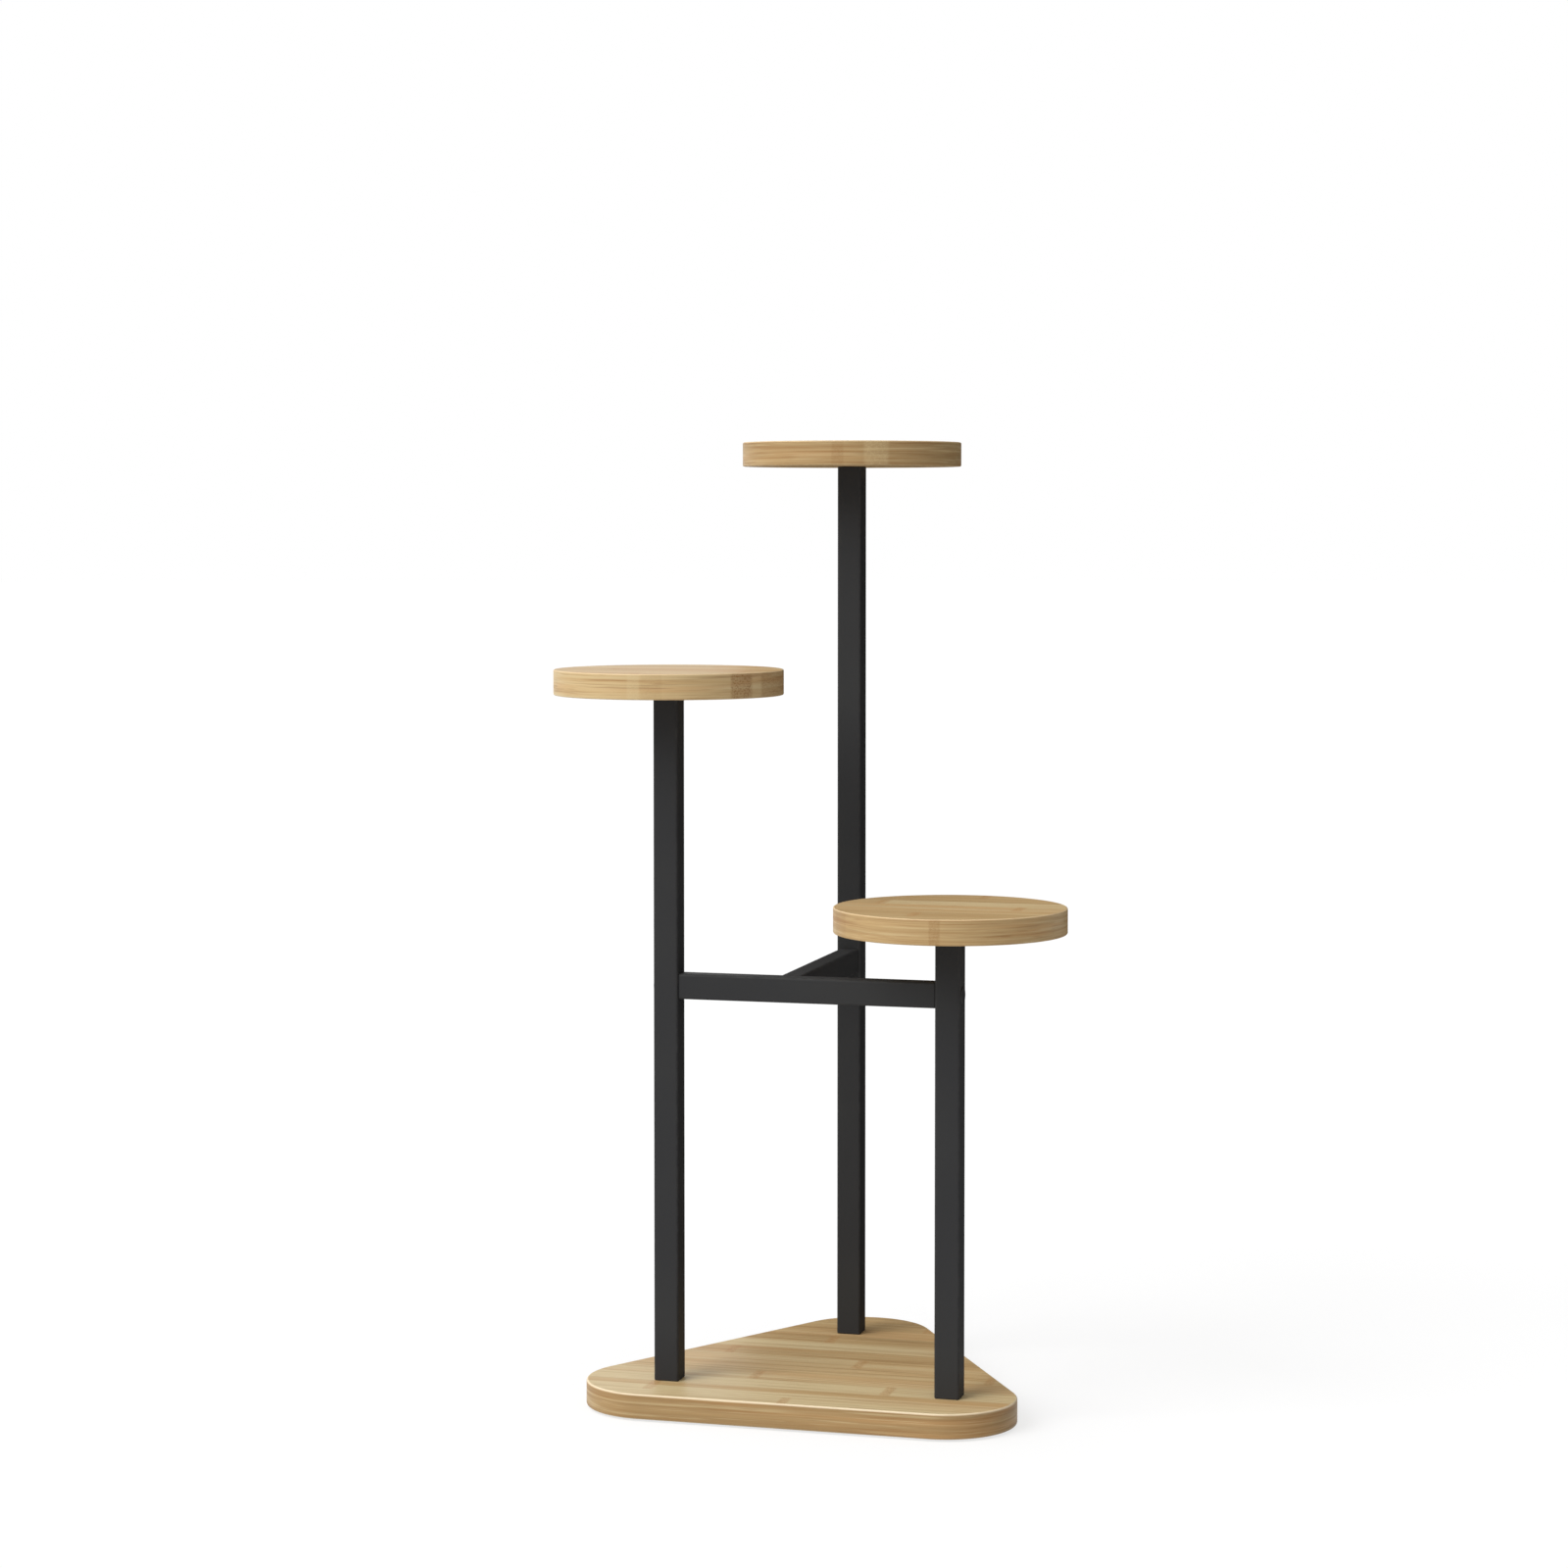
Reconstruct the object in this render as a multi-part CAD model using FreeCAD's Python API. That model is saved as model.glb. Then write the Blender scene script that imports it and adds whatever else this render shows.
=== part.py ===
import FreeCAD, Part
import math
import os
from collections import namedtuple

from FreeCAD import Vector

# Tiered plant stand. Three round wooden trays stand at three heights on square
# steel posts. A welded T-shaped brace ties the posts together, and each post is
# bolted down to a base board in the shape of a rounded triangle.
#
# Millimetres, +Z up. The origin is on the floor, in the middle of the stand's
# plan. X runs along the crossbar to the right post, and Y to the rear post.

# ---- Overall layout ------------------------------------------------------
POST_SPACING = 251.0        # left post's axis to right post's axis
BRACE_REACH = 219.0         # crossbar's axis to rear post's axis
REAR_POST_OFFSET = -17.5    # rear post's axis from the crossbar's middle, along X
LEFT_POST_LENGTH = 600.0
RIGHT_POST_LENGTH = 400.0
REAR_POST_LENGTH = 800.0
POT_ROOM = 335.5            # base board's top to the brace's underside

# ---- Wooden boards -------------------------------------------------------
BASE_SIDE = 475.0           # side of the base triangle before its corners are rounded
BASE_CORNER_RADIUS = 63.0
BASE_THICKNESS = 22.0
BASE_OFFSET_X = -7.5        # triangle's centre from the crossbar's middle, along X
BASE_SETBACK = 74.0         # triangle's centre behind the crossbar's axis
TRAY_DIAMETER = 200.0
TRAY_THICKNESS = 22.0
WOOD_EDGE_EASE = 1.8        # bevel that softens every board's top and bottom edge

# ---- Steel tubes ---------------------------------------------------------
POST_SIDE = 22.0
POST_WALL = 1.2
POST_CORNER_RADIUS = 2.0
BAR_HEIGHT = 22.0
BAR_DEPTH = 18.0
BAR_WALL = 1.2
BAR_CORNER_RADIUS = 2.0
WELD_LEG = 3.0              # fillet weld where the rear bar meets the crossbar
WELD_HOLLOW = 0.4           # how far the weld's face sinks between its toes

# ---- Threaded plates that close the tube ends ----------------------------
PLATE_THICKNESS = 3.0
BOSS_HEIGHT = 8.0
BOSS_WALL = 3.0             # steel left round the thread

# ---- Bolts, studs, washers and inserts -----------------------------------
BOLT_DIAMETER = 6.0
HEAD_DIAMETER = 10.5
HEAD_HEIGHT = 3.3
HEAD_FLAT_DIAMETER = 6.5    # flat on top of the domed head
HEAD_RIM_HEIGHT = 1.1       # straight side of the head above its seat
SOCKET_WIDTH = 4.0          # across the flats of the hexagon
SOCKET_DEPTH = 2.0
THREAD_END_CHAMFER = 0.6
BASE_BOLT_LENGTH = 25.0
BRACE_BOLT_LENGTH = 14.0
WASHER_DIAMETER = 16.0
WASHER_THICKNESS = 1.6
COUNTERBORE_DEPTH = 8.0     # washer and head sink this far into the base board
INSERT_LENGTH = 12.0
INSERT_WALL = 1.5
INSERT_FLANGE_WIDTH = 2.0
INSERT_FLANGE_THICKNESS = 1.2

# ---- Caps over the access holes, and floor pads --------------------------
CAP_LIP = 1.5               # how far the cap's rim covers the post round its hole
CAP_LIP_THICKNESS = 0.8
CAP_BEVEL = 0.5             # fall of the rim's outer face towards its edge
CAP_GRIP = 3.0              # how far the plug reaches past the post's wall
PAD_DIAMETER = 26.0
PAD_THICKNESS = 2.0
PAD_BEVEL = 0.5
PAD_INSET = 25.0            # pad's centre from the tip of the rounded corner

# ---- Clearances ----------------------------------------------------------
PLATE_CLEARANCE = 0.15      # between an end plate and the tube's inside, each side
THREAD_CLEARANCE = 0.1      # on the radius of a bolt or stud in its thread
HOLE_CLEARANCE = 0.3        # on the radius of a bolt in a plain hole
HEAD_CLEARANCE = 0.75       # on the radius of a bolt head in its access hole
WASHER_CLEARANCE = 1.0      # on the radius of a washer in its counterbore
INSERT_CLEARANCE = 0.1      # round an insert in its hole, and beyond its end
CAP_CLEARANCE = 0.1         # on the radius of a cap's plug in the access hole

# ---- Sizes and places that follow ----------------------------------------
FRONT_Y = -BRACE_REACH / 2
REAR_Y = BRACE_REACH / 2
BASE_TOP_Z = PAD_THICKNESS + BASE_THICKNESS
BRACE_Z = BASE_TOP_Z + POT_ROOM + BAR_HEIGHT / 2
BASE_CENTRE = Vector(BASE_OFFSET_X, FRONT_Y + BASE_SETBACK, PAD_THICKNESS)
BOLT_RADIUS = BOLT_DIAMETER / 2
THREAD_RADIUS = BOLT_RADIUS + THREAD_CLEARANCE
BOLT_HOLE_RADIUS = BOLT_RADIUS + HOLE_CLEARANCE
ACCESS_RADIUS = HEAD_DIAMETER / 2 + HEAD_CLEARANCE
BOSS_RADIUS = BOLT_RADIUS + BOSS_WALL
INSERT_RADIUS = THREAD_RADIUS + INSERT_WALL
THREADED_DEPTH = PLATE_THICKNESS + BOSS_HEIGHT
STUD_LENGTH = THREADED_DEPTH + INSERT_LENGTH

RIGHT = Vector(1, 0, 0)
REARWARD = Vector(0, 1, 0)
UP = Vector(0, 0, 1)

# `to_bar` points from the post's axis to the bar that is bolted to the post.
Post = namedtuple("Post", "name foot length to_bar")
POSTS = [
    Post("left", Vector(-POST_SPACING / 2, FRONT_Y, BASE_TOP_Z), LEFT_POST_LENGTH, RIGHT),
    Post("right", Vector(POST_SPACING / 2, FRONT_Y, BASE_TOP_Z), RIGHT_POST_LENGTH, -RIGHT),
    Post("rear", Vector(REAR_POST_OFFSET, REAR_Y, BASE_TOP_Z), REAR_POST_LENGTH, -REARWARD),
]


# ---- Drawing helpers -----------------------------------------------------
def placed(shape, origin, axis=UP):
    """Copy a shape made at the origin along +Z to `origin`, turned to `axis`.

    A shape that is laid level keeps its own Y side upright.
    """
    upright = REARWARD if abs(axis.z) > 0.5 else UP
    moved = shape.copy()
    turn = FreeCAD.Rotation(upright.cross(axis), upright, axis, "ZYX")
    moved.Placement = FreeCAD.Placement(origin, turn)
    return moved


def rounded_outline(corners, radius):
    """Closed wire round convex corners, each rounded to the same radius."""
    arcs = []
    for index, corner in enumerate(corners):
        before = (corners[index - 1] - corner).normalize()
        after = (corners[(index + 1) % len(corners)] - corner).normalize()
        half_angle = before.getAngle(after) / 2
        inward = (before + after).normalize()
        centre = corner + inward * (radius / math.sin(half_angle))
        reach = radius / math.tan(half_angle)
        arcs.append((corner + before * reach, centre - inward * radius, corner + after * reach))
    edges = []
    for index, (start, middle, end) in enumerate(arcs):
        next_start = arcs[(index + 1) % len(arcs)][0]
        edges.append(Part.Arc(start, middle, end).toShape())
        edges.append(Part.LineSegment(end, next_start).toShape())
    return Part.Wire(edges)


def rounded_bar(width, height, radius, length):
    """Solid bar along +Z with a rounded rectangular section."""
    signs = [(-1, -1), (1, -1), (1, 1), (-1, 1)]
    corners = [Vector(sx * width / 2, sy * height / 2, 0) for sx, sy in signs]
    return Part.Face(rounded_outline(corners, radius)).extrude(UP * length)


def square_tube(width, height, wall, corner_radius, length):
    """Open tube along +Z; its inner corners keep the same wall as its sides."""
    outer = rounded_bar(width, height, corner_radius, length)
    inner = rounded_bar(width - 2 * wall, height - 2 * wall, corner_radius - wall, length)
    return outer.cut(inner)


def turned(profile):
    """Solid turned about Z from a closed outline of (radius, height) points."""
    points = [Vector(radius, 0, height) for radius, height in profile]
    face = Part.Face(Part.makePolygon(points + points[:1]))
    return face.revolve(Vector(), UP, 360)


def hexagon_prism(across_flats, height):
    """Hexagonal prism along +Z."""
    corner_radius = across_flats / math.sqrt(3)
    corners = []
    for step in range(7):
        angle = math.radians(60 * step)
        corners.append(Vector(math.cos(angle), math.sin(angle), 0) * corner_radius)
    return Part.Face(Part.makePolygon(corners)).extrude(UP * height)


# ---- Wooden boards -------------------------------------------------------
def triangle_point(distance, index):
    """Point towards corner `index` of the base triangle, from its centre."""
    angle = math.radians(90 + 120 * index)
    return Vector(math.cos(angle), math.sin(angle), 0) * distance


def base_board():
    """Rounded triangular board, drilled and counterbored from below at each post."""
    corner_distance = BASE_SIDE / math.sqrt(3)
    corners = [triangle_point(corner_distance, index) for index in range(3)]
    face = Part.Face(rounded_outline(corners, BASE_CORNER_RADIUS))
    board = face.extrude(UP * BASE_THICKNESS)
    rims = [edge for edge in board.Edges if edge.BoundBox.ZLength < BASE_THICKNESS / 2]
    board = placed(board.makeChamfer(WOOD_EDGE_EASE, rims), BASE_CENTRE)
    for post in POSTS:
        below = Vector(post.foot.x, post.foot.y, PAD_THICKNESS)
        board = board.cut(Part.makeCylinder(BOLT_HOLE_RADIUS, BASE_THICKNESS, below))
        counterbore_radius = WASHER_DIAMETER / 2 + WASHER_CLEARANCE
        board = board.cut(Part.makeCylinder(counterbore_radius, COUNTERBORE_DEPTH, below))
    return board


def tray(post):
    """Round tray with eased rims and a stepped blind hole for its insert."""
    radius = TRAY_DIAMETER / 2
    hole = INSERT_RADIUS + INSERT_CLEARANCE
    flange_hole = hole + INSERT_FLANGE_WIDTH
    flange_depth = INSERT_FLANGE_THICKNESS
    shape = turned([
        (0, INSERT_LENGTH + INSERT_CLEARANCE),
        (hole, INSERT_LENGTH + INSERT_CLEARANCE),
        (hole, flange_depth),
        (flange_hole, flange_depth),
        (flange_hole, 0),
        (radius - WOOD_EDGE_EASE, 0),
        (radius, WOOD_EDGE_EASE),
        (radius, TRAY_THICKNESS - WOOD_EDGE_EASE),
        (radius - WOOD_EDGE_EASE, TRAY_THICKNESS),
        (0, TRAY_THICKNESS),
    ])
    return placed(shape, post.foot + UP * post.length)


# ---- Steel frame ---------------------------------------------------------
def post_tube(post):
    """Post with a bolt hole in the wall at the bar and an access hole opposite."""
    tube = square_tube(POST_SIDE, POST_SIDE, POST_WALL, POST_CORNER_RADIUS, post.length)
    tube = placed(tube, post.foot)
    joint = Vector(post.foot.x, post.foot.y, BRACE_Z)
    tube = tube.cut(Part.makeCylinder(BOLT_HOLE_RADIUS, POST_SIDE, joint, post.to_bar))
    return tube.cut(Part.makeCylinder(ACCESS_RADIUS, POST_SIDE, joint, -post.to_bar))


def bar_end(post):
    """Middle of the post's face that the end of a bar butts against."""
    return Vector(post.foot.x, post.foot.y, BRACE_Z) + post.to_bar * (POST_SIDE / 2)


def bar_tube(start, end):
    """Tube of the brace between two points."""
    run = end - start
    tube = square_tube(BAR_DEPTH, BAR_HEIGHT, BAR_WALL, BAR_CORNER_RADIUS, run.Length)
    return placed(tube, start, run.normalize())


def rear_bar_start():
    """Middle of the rear bar's front end, on the crossbar's back face."""
    return Vector(REAR_POST_OFFSET, FRONT_Y + BAR_DEPTH / 2, BRACE_Z)


def weld_bead(side):
    """Hollow-faced fillet weld up one side (-1 or +1) of the rear bar's front end."""
    length = BAR_HEIGHT - 2 * BAR_CORNER_RADIUS
    root = rear_bar_start() + Vector(side * BAR_DEPTH / 2, 0, -length / 2)
    along_crossbar = root + RIGHT * (side * WELD_LEG)
    along_rear_bar = root + REARWARD * WELD_LEG
    to_root = (root * 2 - along_crossbar - along_rear_bar).normalize()
    hollow = (along_crossbar + along_rear_bar) / 2 + to_root * WELD_HOLLOW
    edges = [
        Part.LineSegment(root, along_crossbar).toShape(),
        Part.Arc(along_crossbar, hollow, along_rear_bar).toShape(),
        Part.LineSegment(along_rear_bar, root).toShape(),
    ]
    return Part.Face(Part.Wire(edges)).extrude(UP * length)


def threaded_plate(tube_width, tube_height, wall, corner_radius):
    """End plate with a threaded boss; its outer face is at the origin, boss to +Z."""
    loss = 2 * (wall + PLATE_CLEARANCE)
    inner_radius = corner_radius - wall
    plate = rounded_bar(tube_width - loss, tube_height - loss, inner_radius, PLATE_THICKNESS)
    plate = plate.fuse(Part.makeCylinder(BOSS_RADIUS, THREADED_DEPTH)).removeSplitter()
    return plate.cut(Part.makeCylinder(THREAD_RADIUS, THREADED_DEPTH))


def post_plate():
    """Threaded plate that fits a post's end."""
    return threaded_plate(POST_SIDE, POST_SIDE, POST_WALL, POST_CORNER_RADIUS)


def foot_plate(post):
    """Threaded plate flush with the post's lower end."""
    return placed(post_plate(), post.foot)


def top_plate(post):
    """Threaded plate flush with the post's upper end."""
    return placed(post_plate(), post.foot + UP * post.length, -UP)


def bar_plate(post):
    """Threaded plate flush with the bar's end at this post."""
    plate = threaded_plate(BAR_DEPTH, BAR_HEIGHT, BAR_WALL, BAR_CORNER_RADIUS)
    return placed(plate, bar_end(post), post.to_bar)


# ---- Fasteners, inserts, caps and pads -----------------------------------
def button_head_bolt(shank_length):
    """Bolt with its head's seat at the origin and its shank along +Z."""
    head_radius = HEAD_DIAMETER / 2
    bolt = turned([
        (0, -HEAD_HEIGHT),
        (HEAD_FLAT_DIAMETER / 2, -HEAD_HEIGHT),
        (head_radius, -HEAD_RIM_HEIGHT),
        (head_radius, 0),
        (BOLT_RADIUS, 0),
        (BOLT_RADIUS, shank_length - THREAD_END_CHAMFER),
        (BOLT_RADIUS - THREAD_END_CHAMFER, shank_length),
        (0, shank_length),
    ])
    socket = placed(hexagon_prism(SOCKET_WIDTH, SOCKET_DEPTH), Vector(0, 0, -HEAD_HEIGHT))
    return bolt.cut(socket)


def base_bolt(post):
    """Bolt from under the base board up into the post's foot plate."""
    seat_z = PAD_THICKNESS + COUNTERBORE_DEPTH - WASHER_THICKNESS
    return placed(button_head_bolt(BASE_BOLT_LENGTH), Vector(post.foot.x, post.foot.y, seat_z))


def base_washer(post):
    """Flat washer against the roof of the counterbore."""
    ring = Part.makeCylinder(WASHER_DIAMETER / 2, WASHER_THICKNESS)
    ring = ring.cut(Part.makeCylinder(BOLT_HOLE_RADIUS, WASHER_THICKNESS))
    seat_z = PAD_THICKNESS + COUNTERBORE_DEPTH - WASHER_THICKNESS
    return placed(ring, Vector(post.foot.x, post.foot.y, seat_z))


def brace_bolt(post):
    """Bolt whose head seats inside the post, on the wall next to the bar."""
    seat = bar_end(post) - post.to_bar * POST_WALL
    return placed(button_head_bolt(BRACE_BOLT_LENGTH), seat, post.to_bar)


def hole_cap(post):
    """Plastic cap over the access hole: a bevelled rim on a plug that fits the hole."""
    plug_radius = ACCESS_RADIUS - CAP_CLEARANCE
    rim_radius = ACCESS_RADIUS + CAP_LIP
    plug_end = -(POST_WALL + CAP_GRIP)
    cap = turned([
        (0, plug_end),
        (plug_radius, plug_end),
        (plug_radius, 0),
        (rim_radius, 0),
        (rim_radius, CAP_LIP_THICKNESS - CAP_BEVEL),
        (ACCESS_RADIUS, CAP_LIP_THICKNESS),
        (0, CAP_LIP_THICKNESS),
    ])
    outer_face = Vector(post.foot.x, post.foot.y, BRACE_Z) - post.to_bar * (POST_SIDE / 2)
    return placed(cap, outer_face, -post.to_bar)


def tray_stud(post):
    """Threaded rod from the top plate up into the tray's insert."""
    chamfered = BOLT_RADIUS - THREAD_END_CHAMFER
    stud = turned([
        (0, 0),
        (chamfered, 0),
        (BOLT_RADIUS, THREAD_END_CHAMFER),
        (BOLT_RADIUS, STUD_LENGTH - THREAD_END_CHAMFER),
        (chamfered, STUD_LENGTH),
        (0, STUD_LENGTH),
    ])
    return placed(stud, post.foot + UP * (post.length - THREADED_DEPTH))


def tray_insert(post):
    """Flanged threaded insert, flush with the tray's underside."""
    insert = turned([
        (THREAD_RADIUS, 0),
        (INSERT_RADIUS + INSERT_FLANGE_WIDTH, 0),
        (INSERT_RADIUS + INSERT_FLANGE_WIDTH, INSERT_FLANGE_THICKNESS),
        (INSERT_RADIUS, INSERT_FLANGE_THICKNESS),
        (INSERT_RADIUS, INSERT_LENGTH),
        (THREAD_RADIUS, INSERT_LENGTH),
    ])
    return placed(insert, post.foot + UP * post.length)


def foot_pad(index):
    """Round pad under corner `index` of the base board."""
    tip_distance = BASE_SIDE / math.sqrt(3) - BASE_CORNER_RADIUS
    pad_radius = PAD_DIAMETER / 2
    pad = turned([
        (0, 0),
        (pad_radius - PAD_BEVEL, 0),
        (pad_radius, PAD_BEVEL),
        (pad_radius, PAD_THICKNESS),
        (0, PAD_THICKNESS),
    ])
    spot = BASE_CENTRE + triangle_point(tip_distance - PAD_INSET, index)
    return placed(pad, Vector(spot.x, spot.y, 0))


# ---- The whole stand -----------------------------------------------------
def group(make, items=POSTS):
    """Like pieces kept together as one sub-part of separate solids."""
    return Part.makeCompound([make(item) for item in items])


def build():
    """Every sub-part of the stand, by name."""
    left, right, rear = POSTS
    parts = {
        "base_board": base_board(),
        "crossbar": bar_tube(bar_end(left), bar_end(right)),
        "rear_bar": bar_tube(rear_bar_start(), bar_end(rear)),
        "brace_weld": group(weld_bead, (-1, 1)),
        "base_bolts": group(base_bolt),
        "base_washers": group(base_washer),
        "brace_bolts": group(brace_bolt),
        "hole_caps": group(hole_cap),
        "tray_studs": group(tray_stud),
        "tray_inserts": group(tray_insert),
        "foot_pads": group(foot_pad, range(3)),
    }
    for post in POSTS:
        parts[post.name + "_post"] = post_tube(post)
        parts[post.name + "_tray"] = tray(post)
        parts[post.name + "_foot_plate"] = foot_plate(post)
        parts[post.name + "_top_plate"] = top_plate(post)
        parts[post.name + "_bar_plate"] = bar_plate(post)
    return parts


os.makedirs("parts", exist_ok=True)
for part_name, part_shape in sorted(build().items()):
    part_shape.exportStep("parts/" + part_name + ".step")
    print(part_name, len(part_shape.Solids), "solid(s),", round(part_shape.Volume), "mm3")
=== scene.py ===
"""Visual model of the tiered plant stand: wooden boards, black steel frame and fixings."""
import logging
import math
from dataclasses import dataclass, field
from enum import Enum
from typing import Iterable, Optional, Sequence, Union

import bmesh
import bpy
from mathutils import Matrix, Vector


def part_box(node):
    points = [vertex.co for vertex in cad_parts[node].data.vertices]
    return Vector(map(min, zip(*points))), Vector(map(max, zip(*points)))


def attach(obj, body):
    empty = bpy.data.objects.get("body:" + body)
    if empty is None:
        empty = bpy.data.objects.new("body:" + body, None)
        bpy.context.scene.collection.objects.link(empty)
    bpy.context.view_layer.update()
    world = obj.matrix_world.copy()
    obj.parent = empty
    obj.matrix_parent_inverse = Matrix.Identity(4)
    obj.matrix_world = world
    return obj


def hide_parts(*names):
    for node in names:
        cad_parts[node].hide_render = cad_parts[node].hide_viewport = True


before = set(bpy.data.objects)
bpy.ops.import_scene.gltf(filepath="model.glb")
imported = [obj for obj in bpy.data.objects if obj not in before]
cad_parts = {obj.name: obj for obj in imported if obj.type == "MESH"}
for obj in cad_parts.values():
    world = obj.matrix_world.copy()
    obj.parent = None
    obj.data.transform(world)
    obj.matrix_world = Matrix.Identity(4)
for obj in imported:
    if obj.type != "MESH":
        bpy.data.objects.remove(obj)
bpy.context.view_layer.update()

MM = 0.001
BODY = "root"
ARRIS = "arris"           # mesh attribute: 1 on the round edges of a piece, and 0 on its flats
WHITE = (1.0, 1.0, 1.0, 1.0)

BOARD_SIDES = 192         # round a tray
ROUND_SIDES = 64          # round a washer, cap, pad or counterbore
SMALL_SIDES = 48          # round a bolt or a hole through steel
ARRIS_STEPS = 8           # chords in a board's arris or a tube's corner
SMALL_ARRIS_STEPS = 6     # the same on a cap or a pad
HOLD = 0.2                # how far past an arris a flat is held, as a share of the arris's radius
LOWER_RUB_AND_HIGHLIGHT = 0.2           # mark of a board's lower arris, where hands rub less and the painted highlight is weaker
SAME_POINT = 1e-7         # points nearer than this are one, in metres
SAME_SEAM_POINT = 1e-6    # the same at the seam of a turned piece
FACE_WEIGHT = 80          # how strongly large faces stay flat in smooth shading
CREASE = 32.0             # edges above this angle stay sharp, in degrees
STEEP, FLAT = 0.45, 0.85  # rise of a face's normal up to which it is upright, and above which level

# Sockets of the Mix node, several of which share a name.
MIX_FACTOR, MIX_NUMBER_A, MIX_NUMBER_B, MIX_COLOUR_A, MIX_COLOUR_B = 0, 2, 3, 6, 7
MIXED_NUMBER, MIXED_COLOUR = 0, 2

log = logging.getLogger("plant_stand")

Colour = tuple[float, float, float, float]
Ring = list[tuple[Vector, float]]              # points, each with how much of an arris it is
Outline = list[tuple[float, float, float]]     # the same in two axes
Socket = bpy.types.NodeSocket
Value = Union[float, tuple, Socket]
Inputs = Union[Sequence[Value], dict[Union[int, str], Value]]


class Slot(Enum):
    """Material slots of the record, passed along with the pieces built here but not used."""

    WOOD = "wood"
    STEEL = "black_steel"
    PLASTIC = "black_plastic"
    ZINC = "zinc_steel"
    FELT = "felt"


class Corner(Enum):
    """The three posts, named by where they stand."""

    LEFT = "left"
    RIGHT = "right"
    REAR = "rear"

    def node(self, part: str) -> str:
        """Name of this corner's CAD node for a part, such as tray or post."""
        return f"{self.value}_{part}"


# ---- Node graphs -----------------------------------------------------------
@dataclass(frozen=True)
class Noise:
    """Layer of smooth noise."""

    scale: float                 # features per unit of the place where it is read
    detail: float = 2.0          # number of finer layers
    roughness: float = 0.5       # their weight


class Graph:
    """Node graph of a material or a world, with short calls for the nodes used here."""

    def __init__(self, owner: Union[bpy.types.Material, bpy.types.World]) -> None:
        """Start an empty graph.

        Args:
            owner: The material or world that it belongs to.
        """
        owner.use_nodes = True
        self.owner = owner
        self.tree = owner.node_tree
        self.tree.nodes.clear()
        self.output = self.add("OutputWorld" if isinstance(owner, bpy.types.World) else "OutputMaterial")

    @classmethod
    def material(cls, name: str) -> "Graph":
        """Graph of a new material."""
        return cls(bpy.data.materials.new(name))

    def add(self, kind: str, **settings: object) -> bpy.types.Node:
        """Add a node and set its properties.

        Args:
            kind: Node type without the ShaderNode prefix.
            **settings: Properties of the node.

        Returns:
            The new node.
        """
        node = self.tree.nodes.new("ShaderNode" + kind)
        for name, value in settings.items():
            setattr(node, name, value)
        return node

    def feed(self, socket: Socket, value: Value) -> None:
        """Give an input its value.

        Args:
            socket: The input.
            value: A socket to link to it, or a number or colour to set on it.
        """
        if isinstance(value, bpy.types.NodeSocket):
            self.tree.links.new(value, socket)
        else:
            socket.default_value = value

    def wire(self, kind: str, inputs: Inputs, output: Union[int, str] = 0, **settings: object) -> Socket:
        """Add a node, feed its inputs and pick one of its outputs.

        Args:
            kind: Node type without the ShaderNode prefix.
            inputs: Values in the order of the inputs, or by their names or numbers.
            output: Name or number of the output.
            **settings: Properties of the node.

        Returns:
            The output's socket.
        """
        node = self.add(kind, **settings)
        keyed = inputs if isinstance(inputs, dict) else dict(enumerate(inputs))
        for key, value in keyed.items():
            self.feed(node.inputs[key], value)
        return node.outputs[output]

    def place(self) -> Socket:
        """Place on the object, in metres in the stand's frame."""
        return self.add("TexCoord").outputs["Object"]

    def level(self) -> Socket:
        """1 on faces that lie level, and 0 on upright ones."""
        _, _, rise = self.split(self.add("TexCoord").outputs["Normal"])
        return self.remap(self.maths("ABSOLUTE", rise), STEEP, FLAT)

    def arris(self) -> Socket:
        """1 on the round arrises that the meshes mark, and 0 on their flats."""
        return self.add("Attribute", attribute_name=ARRIS).outputs["Fac"]

    def maths(self, operation: str, *values: Value) -> Socket:
        """Scalar arithmetic on numbers or sockets."""
        return self.wire("Math", values, operation=operation)

    def vectors(self, operation: str, *values: Value) -> Socket:
        """Vector arithmetic on triples or sockets."""
        return self.wire("VectorMath", values, operation=operation)

    def split(self, vector: Socket) -> tuple[Socket, ...]:
        """X, Y and Z of a vector."""
        return tuple(self.wire("SeparateXYZ", (vector,)).node.outputs)

    def join(self, x: Value, y: Value, z: Value) -> Socket:
        """Vector of three numbers."""
        return self.wire("CombineXYZ", (x, y, z))

    def noise(self, place: Socket, layer: Noise) -> Socket:
        """Smooth noise from 0 to 1, read at a place."""
        inputs = {"Vector": place, "Scale": layer.scale, "Detail": layer.detail, "Roughness": layer.roughness}
        return self.wire("TexNoise", inputs)

    def draw(self, *key: Value) -> tuple[Socket, ...]:
        """Three steady random numbers from 0 to 1 for a cell, known by three numbers."""
        cell = self.wire("TexWhiteNoise", {"Vector": self.join(*key)}, "Color", noise_dimensions="3D")
        return self.split(cell)

    def remap(self, value: Socket, low: float, high: float, start: float = 0.0, end: float = 1.0) -> Socket:
        """Smooth step from `start`, where the value is at `low`, to `end`, where it is at `high`."""
        return self.wire("MapRange", (value, low, high, start, end), interpolation_type="SMOOTHSTEP")

    def mix(self, factor: Value, first: Value, second: Value) -> Socket:
        """Mix of two colours; `factor` is the share of the second."""
        inputs = {MIX_FACTOR: factor, MIX_COLOUR_A: first, MIX_COLOUR_B: second}
        return self.wire("Mix", inputs, MIXED_COLOUR, data_type="RGBA")

    def blend(self, factor: Socket, first: Value, second: Value) -> Socket:
        """Mix of two numbers; `factor` is the share of the second."""
        inputs = {MIX_FACTOR: factor, MIX_NUMBER_A: first, MIX_NUMBER_B: second}
        return self.wire("Mix", inputs, MIXED_NUMBER, data_type="FLOAT")

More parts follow.
